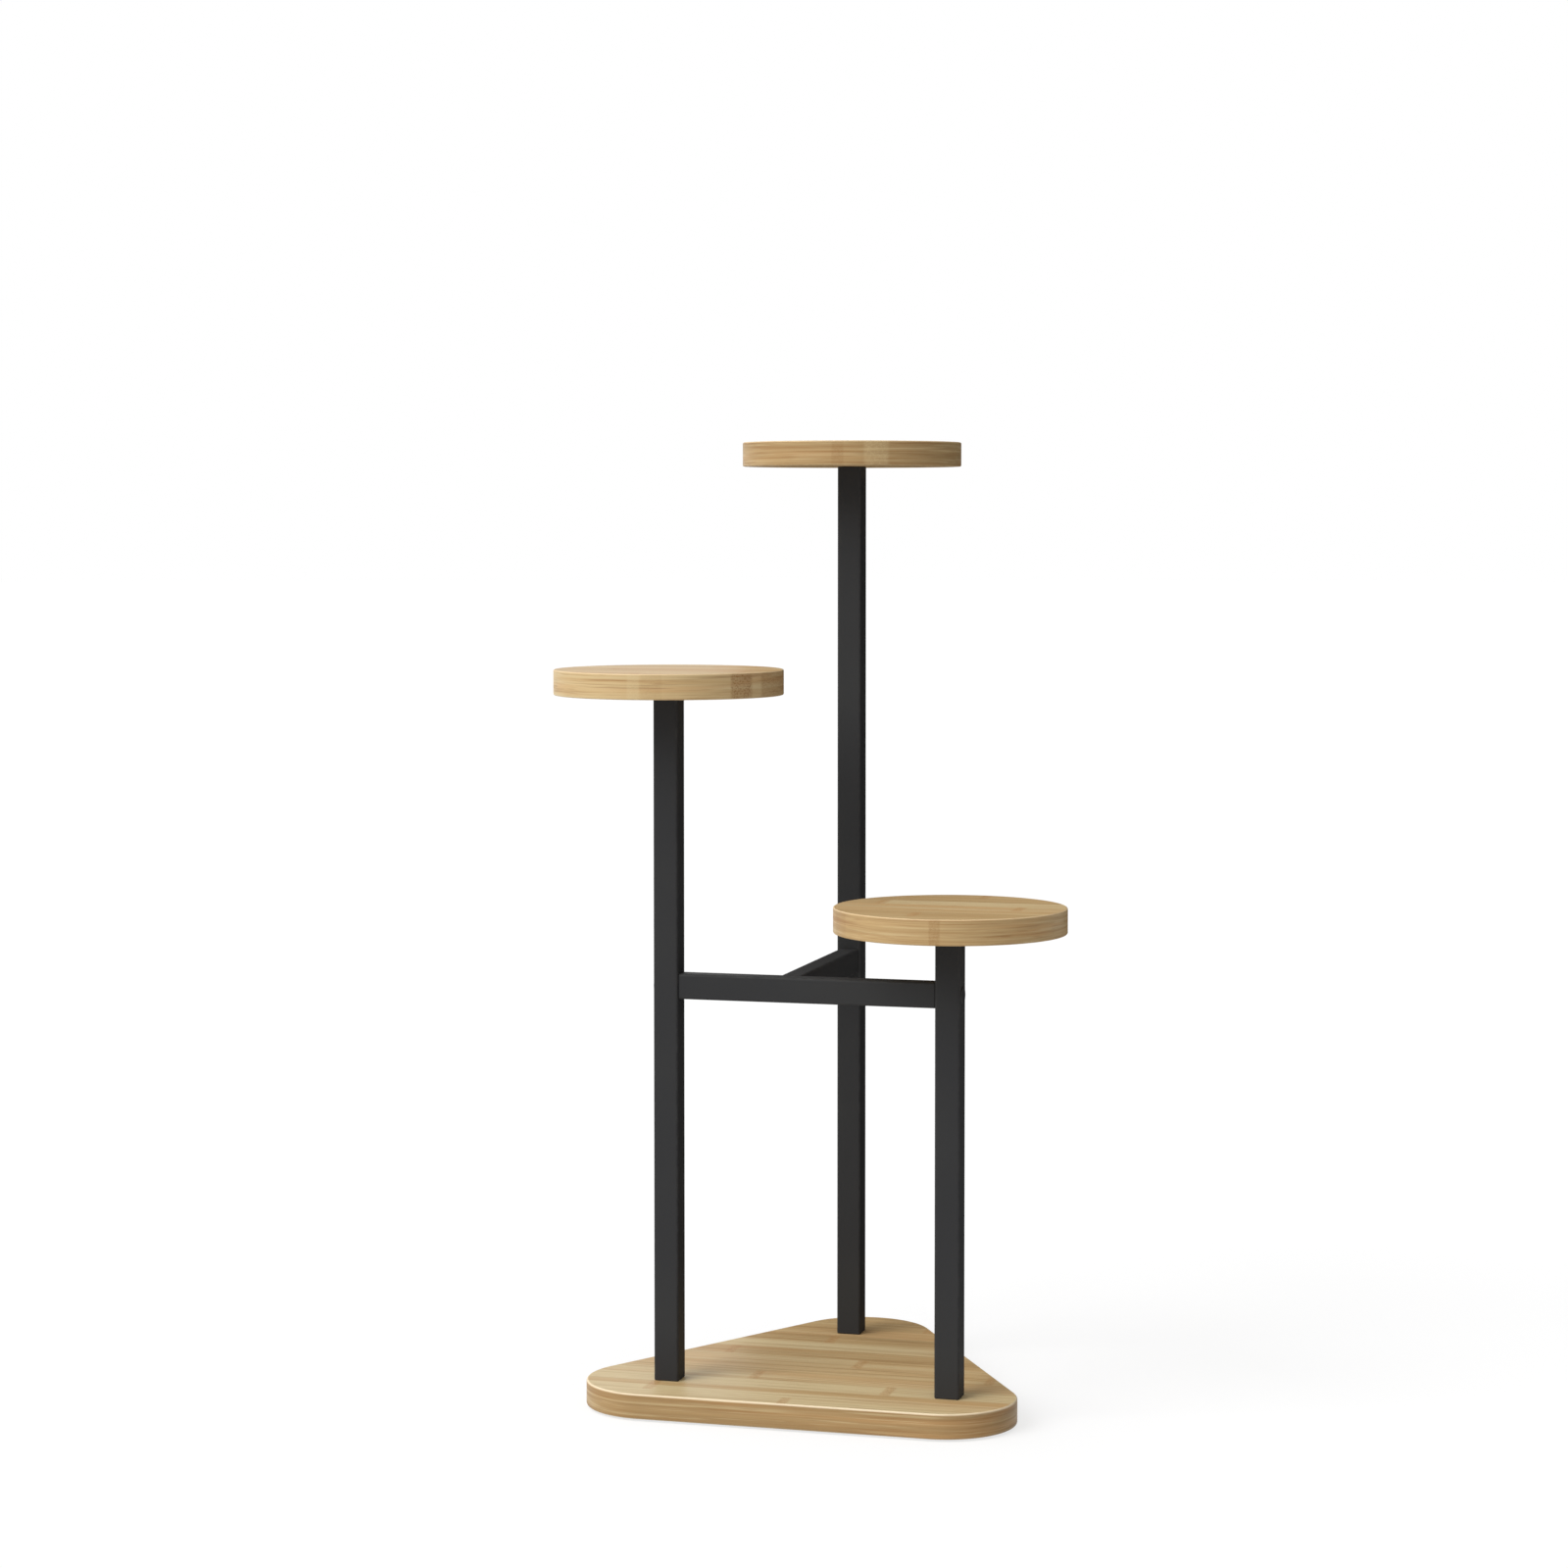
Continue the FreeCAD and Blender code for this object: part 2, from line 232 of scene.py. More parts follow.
    def ramp(self, factor: Socket, stops: Sequence[tuple[float, Colour]]) -> Socket:
        """Colour along a ramp.

        Args:
            factor: Place along the ramp.
            stops: Places and linear colours, in order.

        Returns:
            The colour.
        """
        colour = self.wire("ValToRGB", (factor,))
        marks = colour.node.color_ramp.elements
        while len(marks) < len(stops):
            marks.new(1.0)
        for mark, (position, shade) in zip(marks, stops):
            mark.position = position
            mark.color = shade
        return colour

    def bump(self, height: Socket, depth: float, below: Optional[Socket] = None) -> Socket:
        """Surface normal bent by a height.

        Args:
            height: Height from 0 to 1.
            depth: How deep a step of 1 is, in metres.
            below: Normal of an earlier bump, if any.

        Returns:
            The bent normal.
        """
        inputs = {"Strength": 1.0, "Distance": depth, "Height": height}
        if below is not None:
            inputs["Normal"] = below
        return self.wire("Bump", inputs)

    def close(self, shader: Socket) -> Union[bpy.types.Material, bpy.types.World]:
        """End the graph with its last shader, and give back the graph's owner."""
        self.feed(self.output.inputs["Surface"], shader)
        return self.owner

    def surface(self, **inputs: Value) -> bpy.types.Material:
        """End the graph with one principled shader, with underscores for spaces in its inputs' names."""
        named = {name.replace("_", " "): value for name, value in inputs.items()}
        return self.close(self.wire("BsdfPrincipled", named))


def srgb(red: float, green: float, blue: float) -> Colour:
    """Linear colour from 0 to 255 display values.

    Args:
        red: Red of the display colour.
        green: Its green.
        blue: Its blue.

    Returns:
        The linear colour, with an alpha of 1.
    """
    straight_end, slope, offset, power = 0.04045, 12.92, 0.055, 2.4
    shares = [value / 255 for value in (red, green, blue)]
    linear = [
        share / slope if share <= straight_end else ((share + offset) / (1 + offset)) ** power
        for share in shares
    ]
    return (*linear, 1.0)


# ---- Finishes --------------------------------------------------------------
@dataclass(frozen=True)
class Grain:
    """How a layer of the bamboo's figure is stretched: cells per metre along X, Y and Z."""

    face: tuple[float, float, float]
    rim: tuple[float, float, float]
    noise: Noise


class Figure(Enum):
    """Layers of the bamboo's figure."""

    BANDS = Grain((3.5, 70.0, 110.0), (3.0, 8.0, 210.0), Noise(1.0))
    FIBRES = Grain((5.0, 380.0, 520.0), (7.0, 14.0, 470.0), Noise(1.0, 3.0, 0.6))
    DASHES = Grain((30.0, 1200.0, 1200.0), (26.0, 40.0, 1150.0), Noise(1.0, 1.0))
    BLUSH = Grain((2.2, 24.0, 60.0), (5.0, 14.0, 120.0), Noise(1.0, 1.0))
    SPECKS = Grain((620.0, 900.0, 900.0), (620.0, 620.0, 900.0), Noise(1.0, 1.0))


@dataclass(frozen=True)
class Stain:
    """Colour that comes in as a layer of the figure goes from one value to another."""

    layer: Figure
    start: float
    full: float
    share: float                 # of the colour, once it is full
    colour: Colour


@dataclass(frozen=True)
class RimMark:
    """Band across a board's rim at a cane joint; some such bands are also painted shade."""

    place: float                 # along X from the board's middle, in metres
    half: float                  # half its width, in metres
    depth: float                 # above 0 for a dark mark, and below 0 for a pale one


@dataclass(frozen=True)
class FrontStrip:
    """Front part of a board's top that differs from the rest; such parts add up."""

    reach: float                 # from the board's front edge, in metres
    lift: float                  # above 0 for a paler part, and below 0 for a browner one


@dataclass(frozen=True)
class StripBamboo:
    """Light bamboo in strips along X, pressed in thin layers and lacquered to a satin.

    Level faces show the strips, each with its own tone and a speckled knuckle wherever the cane
    had a joint. The rim shows the layers, as long level streaks. A shade runs from 0, pale, to 1,
    brown, and a share says how much of a colour is laid over the rest.
    """

    name: str
    front: float                 # board's front edge, from which its strips are counted
    middle: Vector               # board's middle
    first_cane: float = 0.0      # where its knuckles begin, as a share of a cane
    rim_tone: float = 0.0        # above 0 for a browner rim
    wear_and_highlight: float = 0.6            # how pale the arrises are: rubbed wood, with a painted highlight along them
    marks: tuple[RimMark, ...] = ()
    front_strips: tuple[FrontStrip, ...] = ()
    front_end: float = 4.0 * MM  # how softly they end
    strip: float = 30.0 * MM
    cut_away: float = 8.0 * MM   # part of the front strip that is lost outside the board
    cane: float = 330.0 * MM     # from one knuckle to the next
    stagger: float = 0.382       # from one strip's knuckles to the next one's, as a share of a cane
    glue_half: float = 0.2 * MM
    glue_share: float = 0.34
    knuckle_half: float = 4.5 * MM
    knuckle_fade: tuple[float, float] = (0.6, 1.3)       # where it fades, as shares of that half
    knuckle_orange: float = 0.30
    knuckle_fibre: tuple[float, float] = (0.34, 0.06)    # share in the specks, and everywhere
    mark_fade: tuple[float, float] = (0.82, 1.15)        # where a rim mark fades, as for knuckles
    mark_mottle: float = 0.5                             # how much of a mark is only in the specks
    speckled: tuple[float, float] = (0.48, 0.64)
    draw_step: float = 1000.0                            # turns a board's place into its draws' key
    strip_key: float = 7.0                               # sets a strip's draws apart from its canes'
    rim_place: tuple[float, float] = (3.7, 1.9)          # where in the noise the rims are read
    rim_step: float = 0.1                                # from one board's rim to another's there
    face_shade: float = -0.13
    rim_shade: float = 0.10
    strip_spread: float = 0.30
    cane_spread: float = 0.16
    band_spread: float = 0.60
    rub_range: tuple[float, float] = (0.25, 0.70)
    least_rub_and_highlight: float = 0.55                              # least share of the wear and painted highlight along an arris
    dash_relief: float = -0.5
    relief_depth: float = 0.030 * MM
    skin: Noise = Noise(330.0, 1.0)
    skin_depth: float = 0.010 * MM
    roughness: tuple[float, float] = (0.16, 0.38)        # spread over the fibres, and least
    ior: float = 1.5
    gloss: float = 0.28
    pale: Colour = srgb(210, 189, 145)
    plain: Colour = srgb(195, 164, 116)
    honey: Colour = srgb(175, 145, 100)
    brown: Colour = srgb(154, 124, 82)
    orange: Colour = srgb(195, 146, 93)
    fibre: Colour = srgb(143, 100, 54)
    # pale colour on the arrises: partly rubbed wood, partly a painted highlight
    rubbed_and_highlit: Colour = srgb(240, 224, 194)
    shades: tuple[tuple[float, Colour], ...] = ((0.12, pale), (0.40, plain), (0.68, honey), (0.95, brown))
    stains: tuple[Stain, ...] = (
        Stain(Figure.BLUSH, 0.50, 0.72, 0.34, orange),
        Stain(Figure.FIBRES, 0.51, 0.68, 0.46, fibre),
        Stain(Figure.FIBRES, 0.48, 0.33, 0.40, pale),
        Stain(Figure.DASHES, 0.60, 0.72, 0.34, fibre),
    )

    def make(self) -> bpy.types.Material:
        """Build the material.

        Returns:
            The bamboo's material.
        """
        g = Graph.material(self.name)
        level = g.level()
        x, y, z = g.split(g.place())
        strip, strip_share = self._count(g, g.maths("SUBTRACT", y, self.front - self.cut_away), self.strip)
        shift = g.maths("FRACT", g.maths("MULTIPLY_ADD", strip, self.stagger, self.first_cane))
        along = g.maths("MULTIPLY_ADD", shift, self.cane, g.maths("SUBTRACT", x, self.middle.x))
        cane, cane_share = self._count(g, along, self.cane)
        board = self.draw_step * self.middle.x
        cane_tone, cane_turn, _ = g.draw(strip, cane, board)
        strip_tone, _, _ = g.draw(strip, self.strip_key, board)
        place = g.join(x, y, z)
        on_face = g.vectors("ADD", place, g.join(cane_tone, cane_turn, strip_tone))
        on_rim = g.vectors("ADD", place, (*self.rim_place, self.rim_step * self.middle.x))
        figure = {layer: self._layer(g, layer.value, on_face, on_rim, level) for layer in Figure}
        shade = g.maths("MULTIPLY_ADD", strip_tone, self.strip_spread, self.face_shade)
        shade = self._front(g, g.maths("MULTIPLY_ADD", cane_tone, self.cane_spread, shade), y)
        shade = g.blend(level, self.rim_shade + self.rim_tone, shade)
        colour = g.ramp(g.maths("MULTIPLY_ADD", figure[Figure.BANDS], self.band_spread, shade), self.shades)
        for stain in self.stains:
            share = g.remap(figure[stain.layer], stain.start, stain.full, 0.0, stain.share)
            colour = g.mix(share, colour, stain.colour)
        specks = g.remap(figure[Figure.SPECKS], *self.speckled)
        colour = self._knuckles(g, colour, cane_share, level, specks)
        colour = self._rim_marks(g, colour, x, level, specks)
        from_glue = self._to_edge(g, strip_share, self.strip)
        glue = g.remap(from_glue, self.glue_half, 2 * self.glue_half, 1.0, 0.0)
        glue = g.maths("MULTIPLY", glue, level)
        colour = g.mix(g.maths("MULTIPLY", glue, self.glue_share), colour, self.fibre)
        # Arrises paled towards that colour: partly wear, partly a painted highlight along the round edge
        rub = g.remap(figure[Figure.BANDS], *self.rub_range, self.least_rub_and_highlight * self.wear_and_highlight, self.wear_and_highlight)
        colour = g.mix(g.maths("MULTIPLY", g.arris(), rub), colour, self.rubbed_and_highlit)
        dashes = g.maths("MULTIPLY", figure[Figure.DASHES], self.dash_relief)
        relief = g.bump(g.maths("SUBTRACT", dashes, glue), self.relief_depth)
        return g.surface(
            Base_Color=colour,
            Roughness=g.maths("MULTIPLY_ADD", figure[Figure.FIBRES], *self.roughness),
            Normal=g.bump(g.noise(place, self.skin), self.skin_depth, relief),
            IOR=self.ior,
            Specular_IOR_Level=self.gloss,
        )

    @staticmethod
    def _count(g: Graph, distance: Socket, step: float) -> tuple[Socket, Socket]:
        """Number of the cell along a distance, and the share of the way through it."""
        cells = g.maths("DIVIDE", distance, step)
        return g.maths("FLOOR", cells), g.maths("FRACT", cells)

    @staticmethod
    def _to_edge(g: Graph, share: Socket, step: float) -> Socket:
        """Distance to the nearer end of a cell, from the share of the way through it."""
        return g.maths("MULTIPLY", g.maths("MINIMUM", share, g.maths("SUBTRACT", 1.0, share)), step)

    @staticmethod
    def _layer(g: Graph, grain: Grain, on_face: Socket, on_rim: Socket, level: Socket) -> Socket:
        """One layer of the figure.

        Args:
            g: The material's graph.
            grain: How the layer is stretched.
            on_face: Where it is read on level faces.
            on_rim: Where it is read on the rim.
            level: 1 on level faces.

        Returns:
            The layer's value, from 0 to 1.
        """
        face = g.noise(g.vectors("MULTIPLY", on_face, grain.face), grain.noise)
        rim = g.noise(g.vectors("MULTIPLY", on_rim, grain.rim), grain.noise)
        return g.blend(level, rim, face)

    def _front(self, g: Graph, shade: Socket, y: Socket) -> Socket:
        """Paler and browner front parts of the board's top.

        Args:
            g: The material's graph.
            shade: Shade so far.
            y: Place along Y.

        Returns:
            The shade with those parts.
        """
        for part in self.front_strips:
            end = self.front + part.reach
            shade = g.maths("ADD", shade, g.remap(y, end - self.front_end, end, -part.lift, 0.0))
        return shade

    def _knuckles(self, g: Graph, colour: Socket, share: Socket, level: Socket, specks: Socket) -> Socket:
        """Speckled knuckles of the strips on level faces.

        Args:
            g: The material's graph.
            colour: Colour so far.
            share: Share of the way from one knuckle to the next.
            level: 1 on level faces.
            specks: Speckles from 0 to 1.

        Returns:
            The colour with the knuckles.
        """
        core, end = (self.knuckle_half * fade for fade in self.knuckle_fade)
        band = g.maths("MULTIPLY", g.remap(self._to_edge(g, share, self.cane), core, end, 1.0, 0.0), level)
        colour = g.mix(g.maths("MULTIPLY", band, self.knuckle_orange), colour, self.orange)
        fibre = g.maths("MULTIPLY_ADD", specks, *self.knuckle_fibre)
        return g.mix(g.maths("MULTIPLY", band, fibre), colour, self.fibre)

    def _rim_marks(self, g: Graph, colour: Socket, x: Socket, level: Socket, specks: Socket) -> Socket:
        """Cane joints that cross the rim, some of them also painted shade.

        Args:
            g: The material's graph.
            colour: Colour so far.
            x: Place along X.
            level: 1 on level faces.
            specks: Speckles from 0 to 1.

        Returns:
            The colour with the marks.
        """
        mottle = g.maths("MULTIPLY_ADD", specks, self.mark_mottle, 1 - self.mark_mottle)
        mottle = g.maths("MULTIPLY", g.maths("SUBTRACT", 1.0, level), mottle)
        for mark in self.marks:
            distance = g.maths("ABSOLUTE", g.maths("SUBTRACT", x, self.middle.x + mark.place))
            core, end = (mark.half * fade for fade in self.mark_fade)
            band = g.maths("MULTIPLY", g.remap(distance, core, end, abs(mark.depth), 0.0), mottle)
            colour = g.mix(band, colour, self.fibre if mark.depth > 0 else self.pale)
        return colour


@dataclass(frozen=True)
class PowderCoat:
    """Matt black powder coat: fine orange peel, and a thinner, greyer film along the arrises."""

    name: str = "black_powder_coat"
    film: Colour = srgb(48, 48, 49)
    dusted: Colour = srgb(51, 51, 51)
    worn: Colour = srgb(66, 66, 65)
    cloud: Noise = Noise(9.0)
    cloudy: tuple[float, float] = (0.35, 0.70)
    peel: Noise = Noise(1 / (1.3 * MM), 2.0, 0.45)
    peel_depth: float = 0.014 * MM
    speck: Noise = Noise(2400.0, 1.0)
    speck_depth: float = 0.004 * MM
    rub: Noise = Noise(120.0)
    rub_range: tuple[float, ...] = (0.35, 0.65, 0.0, 0.36)     # of the noise, and its least and most wear
    roughness: tuple[float, float] = (0.10, 0.52)              # spread over the clouds, and least
    ior: float = 1.5
    gloss: float = 0.12

    def make(self) -> bpy.types.Material:
        """Build the material.

        Returns:
            The coat's material.
        """
        g = Graph.material(self.name)
        place = g.place()
        cloud = g.noise(place, self.cloud)
        rubbed_and_highlit = g.maths("MULTIPLY", g.arris(), g.remap(g.noise(place, self.rub), *self.rub_range))
        colour = g.mix(g.remap(cloud, *self.cloudy), self.film, self.dusted)
        peel = g.bump(g.noise(place, self.peel), self.peel_depth)
        return g.surface(
            Base_Color=g.mix(rubbed_and_highlit, colour, self.worn),
            Roughness=g.maths("MULTIPLY_ADD", cloud, *self.roughness),
            Normal=g.bump(g.noise(place, self.speck), self.speck_depth, peel),
            IOR=self.ior,
            Specular_IOR_Level=self.gloss,
        )


@dataclass(frozen=True)
class MouldedPlastic:
    """Black moulded plastic of the hole caps, a little glossier than the posts."""

    name: str = "black_moulded_plastic"
    base: Colour = srgb(38, 38, 39)
    pale: Colour = srgb(47, 47, 48)
    haze: Noise = Noise(90.0)
    grain: Noise = Noise(1600.0, 2.0, 0.6)
    grain_depth: float = 0.012 * MM
    roughness: tuple[float, float] = (0.12, 0.36)              # spread over the haze, and least
    ior: float = 1.49
    gloss: float = 0.35

    def make(self) -> bpy.types.Material:
        """Build the material.

        Returns:
            The plastic's material.
        """
        g = Graph.material(self.name)
        place = g.place()
        haze = g.noise(place, self.haze)
        return g.surface(
            Base_Color=g.mix(haze, self.base, self.pale),
            Roughness=g.maths("MULTIPLY_ADD", haze, *self.roughness),
            Normal=g.bump(g.noise(place, self.grain), self.grain_depth),
            IOR=self.ior,
            Specular_IOR_Level=self.gloss,
        )


@dataclass(frozen=True)
class PlatedMetal:
    """Plated or turned metal with fine tool marks, used for zinc fasteners and brass inserts."""

    name: str
    bright: Colour
    dull: Colour
    roughness: float
    roughness_spread: float = 0.18
    stain: Noise = Noise(260.0, 3.0, 0.6)
    stained: tuple[float, float] = (0.35, 0.7)
    marks: Noise = Noise(1.0)
    marks_stretch: tuple[float, float, float] = (900.0, 900.0, 5200.0)
    marks_depth: float = 0.006 * MM

    def make(self) -> bpy.types.Material:
        """Build the material.

        Returns:
            The metal's material.
        """
        g = Graph.material(self.name)
        place = g.place()
        stain = g.noise(place, self.stain)
        marks = g.noise(g.vectors("MULTIPLY", place, self.marks_stretch), self.marks)
        return g.surface(
            Base_Color=g.mix(g.remap(stain, *self.stained), self.bright, self.dull),
            Metallic=1.0,
            Roughness=g.maths("MULTIPLY_ADD", stain, self.roughness_spread, self.roughness),
            Normal=g.bump(marks, self.marks_depth),
        )


@dataclass(frozen=True)
class Felt:
    """Pressed felt of the floor pads."""

    name: str = "pressed_felt"
    dark: Colour = srgb(52, 46, 42)
    light: Colour = srgb(88, 80, 74)
    swirl: Noise = Noise(240.0, 2.0, 0.6)
    curl: float = 4.0 * MM
    hairs: Noise = Noise(1.0, 5.0, 0.72)
    hairs_stretch: tuple[float, float, float] = (1400.0, 2600.0, 1800.0)
    hairs_depth: float = 0.25 * MM
    hairy: tuple[float, float] = (0.35, 0.7)

    def make(self) -> bpy.types.Material:
        """Build the material.

        Returns:
            The felt's material.
        """
        g = Graph.material(self.name)
        place = g.place()
        swirl = g.noise(place, self.swirl)
        bent = g.vectors("MULTIPLY_ADD", g.join(swirl, swirl, swirl), (self.curl,) * 3, place)
        hairs = g.noise(g.vectors("MULTIPLY", bent, self.hairs_stretch), self.hairs)
        return g.surface(
            Base_Color=g.mix(g.remap(hairs, *self.hairy), self.dark, self.light),
            Roughness=0.95,
            Normal=g.bump(hairs, self.hairs_depth),
            Specular_IOR_Level=0.15,
            Sheen_Weight=0.3,
            Sheen_Roughness=0.5,
        )


# ---- Mesh making -----------------------------------------------------------
def arc(centre: tuple[float, float], radius: float, start: float, end: float, steps: int) -> Outline:
    """Points along an arc, marked as an arris that is strongest half-way.

    Args:
        centre: The arc's centre.
        radius: Its radius.
        start: First angle, in degrees.
        end: Last angle, in degrees.
        steps: Number of chords.

    Returns:
        The points, both ends included.
    """
    points = []
    for step in range(steps + 1):
        share = step / steps
        angle = math.radians(start + (end - start) * share)
        x = centre[0] + radius * math.cos(angle)
        y = centre[1] + radius * math.sin(angle)
        points.append((x, y, math.sin(math.pi * share)))
    return points


def plain(*points: tuple[float, float]) -> Outline:
    """Points that are no arris."""
    return [(x, y, 0.0) for x, y in points]


def rounded_rectangle(width: float, height: float, radius: float) -> Outline:
    """Rectangle with round corners, with a point beside each corner that keeps its sides flat.

    Args:
        width: Size along the first axis.
        height: Size along the second axis.
        radius: Corner radius.

    Returns:
        The outline, anticlockwise.
    """
    hold = HOLD * radius
    across, up = width / 2 - radius, height / 2 - radius
    points: Outline = []
    for turn, (side, rise) in enumerate(((1, -1), (1, 1), (-1, 1), (-1, -1))):
        start = 90 * turn - 90
        curve = arc((side * across, rise * up), radius, start, start + 90, ARRIS_STEPS)
        (x0, y0, _), (x1, y1, _) = curve[0], curve[-1]
        before, after = math.radians(start + 90), math.radians(start + 180)
        points += plain((x0 - hold * math.cos(before), y0 - hold * math.sin(before)))
        points += curve
        points += plain((x1 + hold * math.cos(after), y1 + hold * math.sin(after)))
    return points


def loft(name: str, rings: list[Ring], closed: bool = False) -> bpy.types.Object:
    """Solid skinned over rings of points, or a closed loop of rings.

    Args:
        name: The piece's name.
        rings: Rings with equal numbers of points.
        closed: True if the last ring joins the first, and false to cap both ends.

    Returns:
        The new piece.
    """
    mesh = bmesh.new()
    layer = mesh.verts.layers.float.new(ARRIS)
    rows = []
    for ring in rings:
        row = []
        for point, arris in ring:
            vertex = mesh.verts.new(point)
            vertex[layer] = arris
            row.append(vertex)
        rows.append(row)
    pairs = list(zip(rows, rows[1:]))
    if closed:
        pairs.append((rows[-1], rows[0]))
    for lower, upper in pairs:
        for index in range(len(lower)):
            after = (index + 1) % len(lower)
            mesh.faces.new((lower[index], lower[after], upper[after], upper[index]))
    if not closed:
        mesh.faces.new(list(reversed(rows[0])))
        mesh.faces.new(rows[-1])
    return as_piece(name, mesh)


def as_piece(name: str, mesh: bmesh.types.BMesh) -> bpy.types.Object:
    """Turn a mesh under construction into a piece in the scene, facing outwards.

    Args:
        name: The piece's name.
        mesh: The mesh, which is freed.

    Returns:
        The new piece.
    """
    bmesh.ops.remove_doubles(mesh, verts=mesh.verts, dist=SAME_POINT)
    bmesh.ops.recalc_face_normals(mesh, faces=mesh.faces)
    data = bpy.data.meshes.new(name)
    mesh.to_mesh(data)
    mesh.free()
    return in_scene(name, data)


def in_scene(name: str, data: bpy.types.ID) -> bpy.types.Object:
    """Object in the scene for a mesh, a camera or a lamp.

    Args:
        name: The object's name.
        data: What it shows.

    Returns:
        The new object.
    """
    placed = bpy.data.objects.new(name, data)
    bpy.context.scene.collection.objects.link(placed)
    return placed


def turned(name: str, profile: Outline, sides: int) -> bpy.types.Object:
    """Solid turned about Z from a closed profile of radii and heights.

    Args:
        name: The piece's name.
        profile: The profile; it may start and end on the axis.
        sides: Number of sides round the axis.

    Returns:
        The new piece.
    """
    mesh = bmesh.new()
    layer = mesh.verts.layers.float.new(ARRIS)
    points = []
    for radius, height, arris in profile:
        vertex = mesh.verts.new((radius, 0.0, height))
        vertex[layer] = arris
        points.append(vertex)
    edges = [mesh.edges.new(pair) for pair in zip(points, points[1:])]
    if profile[0][0] > 0:
        edges.append(mesh.edges.new((points[-1], points[0])))
    bmesh.ops.spin(
        mesh,
        geom=points + edges,
        cent=(0.0, 0.0, 0.0),
        axis=(0.0, 0.0, 1.0),
        angle=math.tau,
        steps=sides,
        use_merge=True,
    )
    bmesh.ops.remove_doubles(mesh, verts=mesh.verts, dist=SAME_SEAM_POINT)
    return as_piece(name, mesh)


def eased(thickness: float, radius: float) -> Outline:
    """Insets and heights up the edge of a board with round arrises.

    A last point just past each arris keeps the board's faces flat in smooth shading. The lower
    arris is marked weakly, because hands rub the upper one and the painted highlight on the
    arrises belongs on the upper one.

    Args:
        thickness: The board's thickness.
        radius: Radius of the arrises.

    Returns:
        Points from the underside's edge to the top's.
    """
    hold = HOLD * radius
    lower = arc((radius, radius), radius, 270, 180, ARRIS_STEPS)
    lower = [(inset, height, LOWER_RUB_AND_HIGHLIGHT * arris) for inset, height, arris in lower]
    upper = arc((radius, thickness - radius), radius, 180, 90, ARRIS_STEPS)
    side = plain((0.0, radius + hold), (0.0, thickness - radius - hold))
    return plain((radius + hold, 0.0)) + lower + side + upper + plain((radius + hold, thickness))


def cut(piece: bpy.types.Object, cutters: Iterable[bpy.types.Object]) -> None:
    """Cut other solids out of a piece and remove them.

    Args:
        piece: The piece to cut.
        cutters: The solids taken away.
    """
    for cutter in cutters:
        modifier = piece.modifiers.new("cut", "BOOLEAN")
        modifier.operation = "DIFFERENCE"
        modifier.solver = "EXACT"
        modifier.object = cutter
        graph = bpy.context.evaluated_depsgraph_get()
        graph.update()
        data = bpy.data.meshes.new_from_object(piece.evaluated_get(graph))
        data.name = piece.name
        piece.modifiers.clear()
        piece.data = data
        bpy.data.objects.remove(cutter)


def merged(name: str, pieces: list[bpy.types.Object]) -> bpy.types.Object:
    """Join like pieces into one, as separate shells.

    Args:
        name: Name of the joined piece.
        pieces: The pieces, which are removed.

    Returns:
        The joined piece.
    """
    mesh = bmesh.new()
    for piece in pieces:
        piece.data.transform(piece.matrix_basis)
        mesh.from_mesh(piece.data)
        bpy.data.objects.remove(piece)
    return as_piece(name, mesh)


def aim(piece: bpy.types.Object, origin: Vector, axis: Vector = Vector((0, 0, 1))) -> bpy.types.Object:
    """Move a piece made about +Z so that it starts at a point and follows an axis.

    Args:
        piece: The piece.
        origin: Where its origin goes.
        axis: Where its +Z points, upright or level.

    Returns:
        The same piece.
    """
    upright = Vector((0, 1, 0)) if axis.z else Vector((0, 0, 1))
    across = upright.cross(axis).normalized()
    turn = Matrix((across, upright, axis)).transposed().to_4x4()
    piece.data.transform(Matrix.Translation(origin) @ turn)
    return piece


def dress(
    piece: bpy.types.Object,
    finish: bpy.types.Material,
    slot: Slot,
    *nodes: str,
    crease: float = CREASE,
) -> bpy.types.Object:
    """slot: The record's slot that the finish belongs to; not used.
        *nodes: CAD nodes that the piece stands for.
        crease: Angle in degrees above which an edge stays sharp.

    Returns:
        The same piece.
    """
    piece.data.shade_smooth()
    piece.data.set_sharp_from_angle(angle=math.radians(crease))
    weighted = piece.modifiers.new("flat_faces", "WEIGHTED_NORMAL")
    weighted.mode = "FACE_AREA"
    weighted.weight = FACE_WEIGHT
    weighted.keep_sharp = True
    piece.data.materials.clear()
    piece.data.materials.append(finish)
    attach(piece, BODY)
    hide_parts(*nodes)
    log.info("%s: %d faces, stands for %s", piece.name, len(piece.data.polygons), ", ".join(nodes))
    return piece


def size_of(node: str) -> tuple[float, float, float]:
    """Sizes of a CAD node's box along X, Y and Z."""
    low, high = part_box(node)
    return high.x - low.x, high.y - low.y, high.z - low.z


def foot(corner: Corner) -> Vector:
    """Middle of the foot of a corner's post, on the base board."""
    low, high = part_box(corner.node("post"))
    return Vector(((low.x + high.x) / 2, (low.y + high.y) / 2, low.z))


def joint(corner: Corner) -> Vector:
    """Place on the axis of a corner's post at the height of the brace's middle line."""
    low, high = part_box("crossbar")
    return Vector((*foot(corner).xy, (low.z + high.z) / 2))


